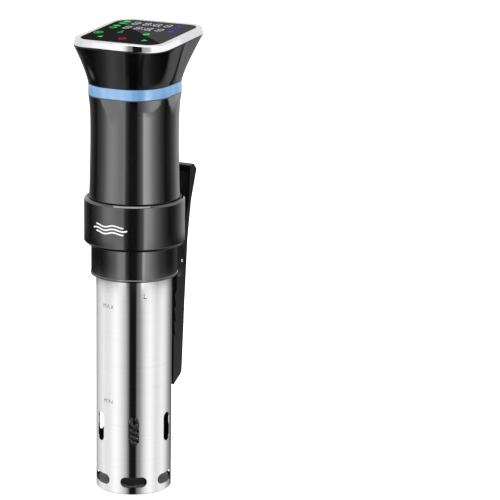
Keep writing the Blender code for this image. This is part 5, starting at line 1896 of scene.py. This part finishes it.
@dataclass
class Studio:
    """The floor, the lights and the camera.

    Args:
        azimuth: The camera's bearing in degrees from the front towards +X.
        distance: How far the camera is from the axis, on the level.
        height: The camera's height.
        lens: The lens, for a 36 mm sensor.
        aim_right: How far to the right of the axis the camera looks.
        aim_height: The height it looks at.
        roll: How far the camera leans to keep the axis upright in the frame.
        wall_radius: The radius of the light wall.
        rows: The light wall's levels, from the bottom up.
    """

    azimuth: float = 30.0
    distance: float = 1.7
    height: float = 0.61
    lens: float = 160.23
    aim_right: float = 90.98 * MM
    aim_height: float = 192.99 * MM
    roll: float = 0.91
    wall_radius: float = 1.5
    rows: tuple[LightRow, ...] = (
        # seen by the flared head
        LightRow(-2.6, 0.12, CASING_STOPS), LightRow(-0.8, 0.32, CASING_STOPS),
        # seen by the steel sleeve
        LightRow(-0.64, 0.5, STEEL_STOPS), LightRow(-0.56, 1.0, STEEL_STOPS),
        LightRow(-0.222, 1.0, STEEL_STOPS),
        # seen by the collar
        LightRow(-0.203, 1.0, COLLAR_STOPS), LightRow(-0.155, 1.0, COLLAR_STOPS),
        # seen by the clamp ring and the grip
        LightRow(-0.14, 1.0, CASING_STOPS), LightRow(0.06, 1.0, CASING_STOPS),
        # seen by the bezel's outer wall
        LightRow(0.1, 1.0, CHROME_STOPS), LightRow(1.0, 1.0, CHROME_STOPS),
        # seen by the glass and the bezel's top
        LightRow(1.3, 1.0, HIGH_STOPS), LightRow(3.2, 1.0, HIGH_STOPS),
    )

    def camera(self) -> None:
        """Make the scene's camera."""
        turn = math.radians(self.azimuth)
        spot = Vector((self.distance * math.sin(turn), -self.distance * math.cos(turn), self.height))
        target = Vector((math.cos(turn), math.sin(turn), 0.0)) * self.aim_right
        target.z = self.aim_height
        data = bpy.data.cameras.new("camera")
        data.lens = self.lens
        data.sensor_width = 36.0
        data.clip_start = 0.05
        data.clip_end = 100.0
        made = linked("camera", data)
        made.rotation_mode = "QUATERNION"
        made.location = spot
        look = (target - spot).to_track_quat("-Z", "Y")
        made.rotation_quaternion = look @ Matrix.Rotation(math.radians(self.roll), 3, "Z").to_quaternion()
        bpy.context.scene.camera = made

    def floor(self) -> None:
        """Make the pale floor, lit a little from within so that it stays even far away."""
        size = 40.0
        corners = ((-size, -size), (size, -size), (size, size), (-size, size))
        mesh = mesh_from([Vector((x, y, -0.0002)) for x, y in corners], [[0, 1, 2, 3]])
        material = bpy.data.materials.new("pale_floor")
        material.use_nodes = True
        kit = Tree(material.node_tree)
        shader = material.node_tree.nodes["Principled BSDF"]
        place = kit.place((1, 1, 1))
        cloud = kit.node("ShaderNodeTexNoise", None, Vector=place, Scale=3.0, Detail=2.0)
        tone = kit.blend(cloud.outputs["Fac"], (0.9, 0.9, 0.9, 1.0), (0.92, 0.92, 0.92, 1.0))
        kit.feed(shader, Base_Color=tone)
        away = kit.node("ShaderNodeVectorMath", {"operation": "LENGTH"}, in0=place)
        glow = kit.span(away.outputs["Value"], 0.25, 2.0, 0.6, 1.02)
        paper = kit.node("ShaderNodeCombineColor", None, in0=glow, in1=glow, in2=glow)
        kit.feed(shader, Emission_Color=paper.outputs[0])
        kit.feed(shader, Roughness=0.9, Specular_IOR_Level=0.1, Emission_Strength=1.0)
        mesh.materials.append(material)
        made = linked("floor", mesh)
        made.visible_glossy = False

    def wall(self) -> None:
        """Make the round wall of light that only lights and reflects."""
        bearings = sorted({float(stop) for row in self.rows for stop, _ in row.stops} - {180.0})
        count = len(bearings)
        points = []
        values = []
        for row in self.rows:
            for degrees in bearings:
                points.append(bearing(self.azimuth + degrees, self.wall_radius, row.height))
                values.append(row.strength(degrees))
        faces = []
        for level in range(len(self.rows) - 1):
            for k in range(count):
                low = level * count
                after = (k + 1) % count
                faces.append([low + k, low + after, low + count + after, low + count + k])
        mesh = bpy.data.meshes.new("light_wall")
        mesh.from_pydata([tuple(p) for p in points], [], faces)
        mesh.attributes.new("glow", "FLOAT", "POINT").data.foreach_set("value", values)
        material = bpy.data.materials.new("light_wall")
        material.use_nodes = True
        kit = Tree(material.node_tree)
        kit.tree.nodes.remove(kit.tree.nodes["Principled BSDF"])
        glow = kit.node("ShaderNodeAttribute", {"attribute_name": "glow"})
        light = kit.node("ShaderNodeEmission", None, Strength=glow.outputs["Fac"])
        kit.tree.links.new(light.outputs[0], kit.tree.nodes["Material Output"].inputs["Surface"])
        mesh.materials.append(material)
        made = linked("light_wall", mesh)
        made.visible_camera = False
        made.visible_shadow = False

    def overhead(self) -> None:
        """Make the large soft light above."""
        data = bpy.data.lights.new("overhead", "AREA")
        data.shape = "DISK"
        data.size = 2.2
        data.energy = 42.0
        made = linked("overhead", data)
        made.location = (0.0, -0.3, 2.4)
        made.visible_camera = False

    def world(self) -> None:
        """Make the surroundings: white to look at, dim grey in reflections."""
        world = bpy.data.worlds.new("studio")
        world.use_nodes = True
        kit = Tree(world.node_tree)
        back = kit.tree.nodes["Background"]
        path = kit.node("ShaderNodeLightPath")
        kit.tree.links.new(kit.blend(path.outputs["Is Camera Ray"], (0.03, 0.03, 0.031, 1.0), (1, 1, 1, 1)),
                           back.inputs["Color"])
        bpy.context.scene.world = world

    def build(self) -> None:
        """Set up the whole studio."""
        self.camera()
        self.floor()
        self.world()
        self.wall()
        self.overhead()
        bpy.context.scene.view_settings.view_transform = "Standard"


def main() -> None:
    """Build the studio and every sub-assembly in order."""
    logging.basicConfig(level=logging.INFO, format="%(name)s %(message)s")
    shop = Workshop()
    casing = Casing()
    Studio().build()
    casing.build()
    CordInlet().build()
    TouchPanel(casing, shop).build()
    Collar().build()
    ClampRing().build()
    Clip(shop).build()
    Sleeve().build()
    WetEnd(shop).build()
    Innards(shop).build(casing)


if __name__ == "__main__":
    main()
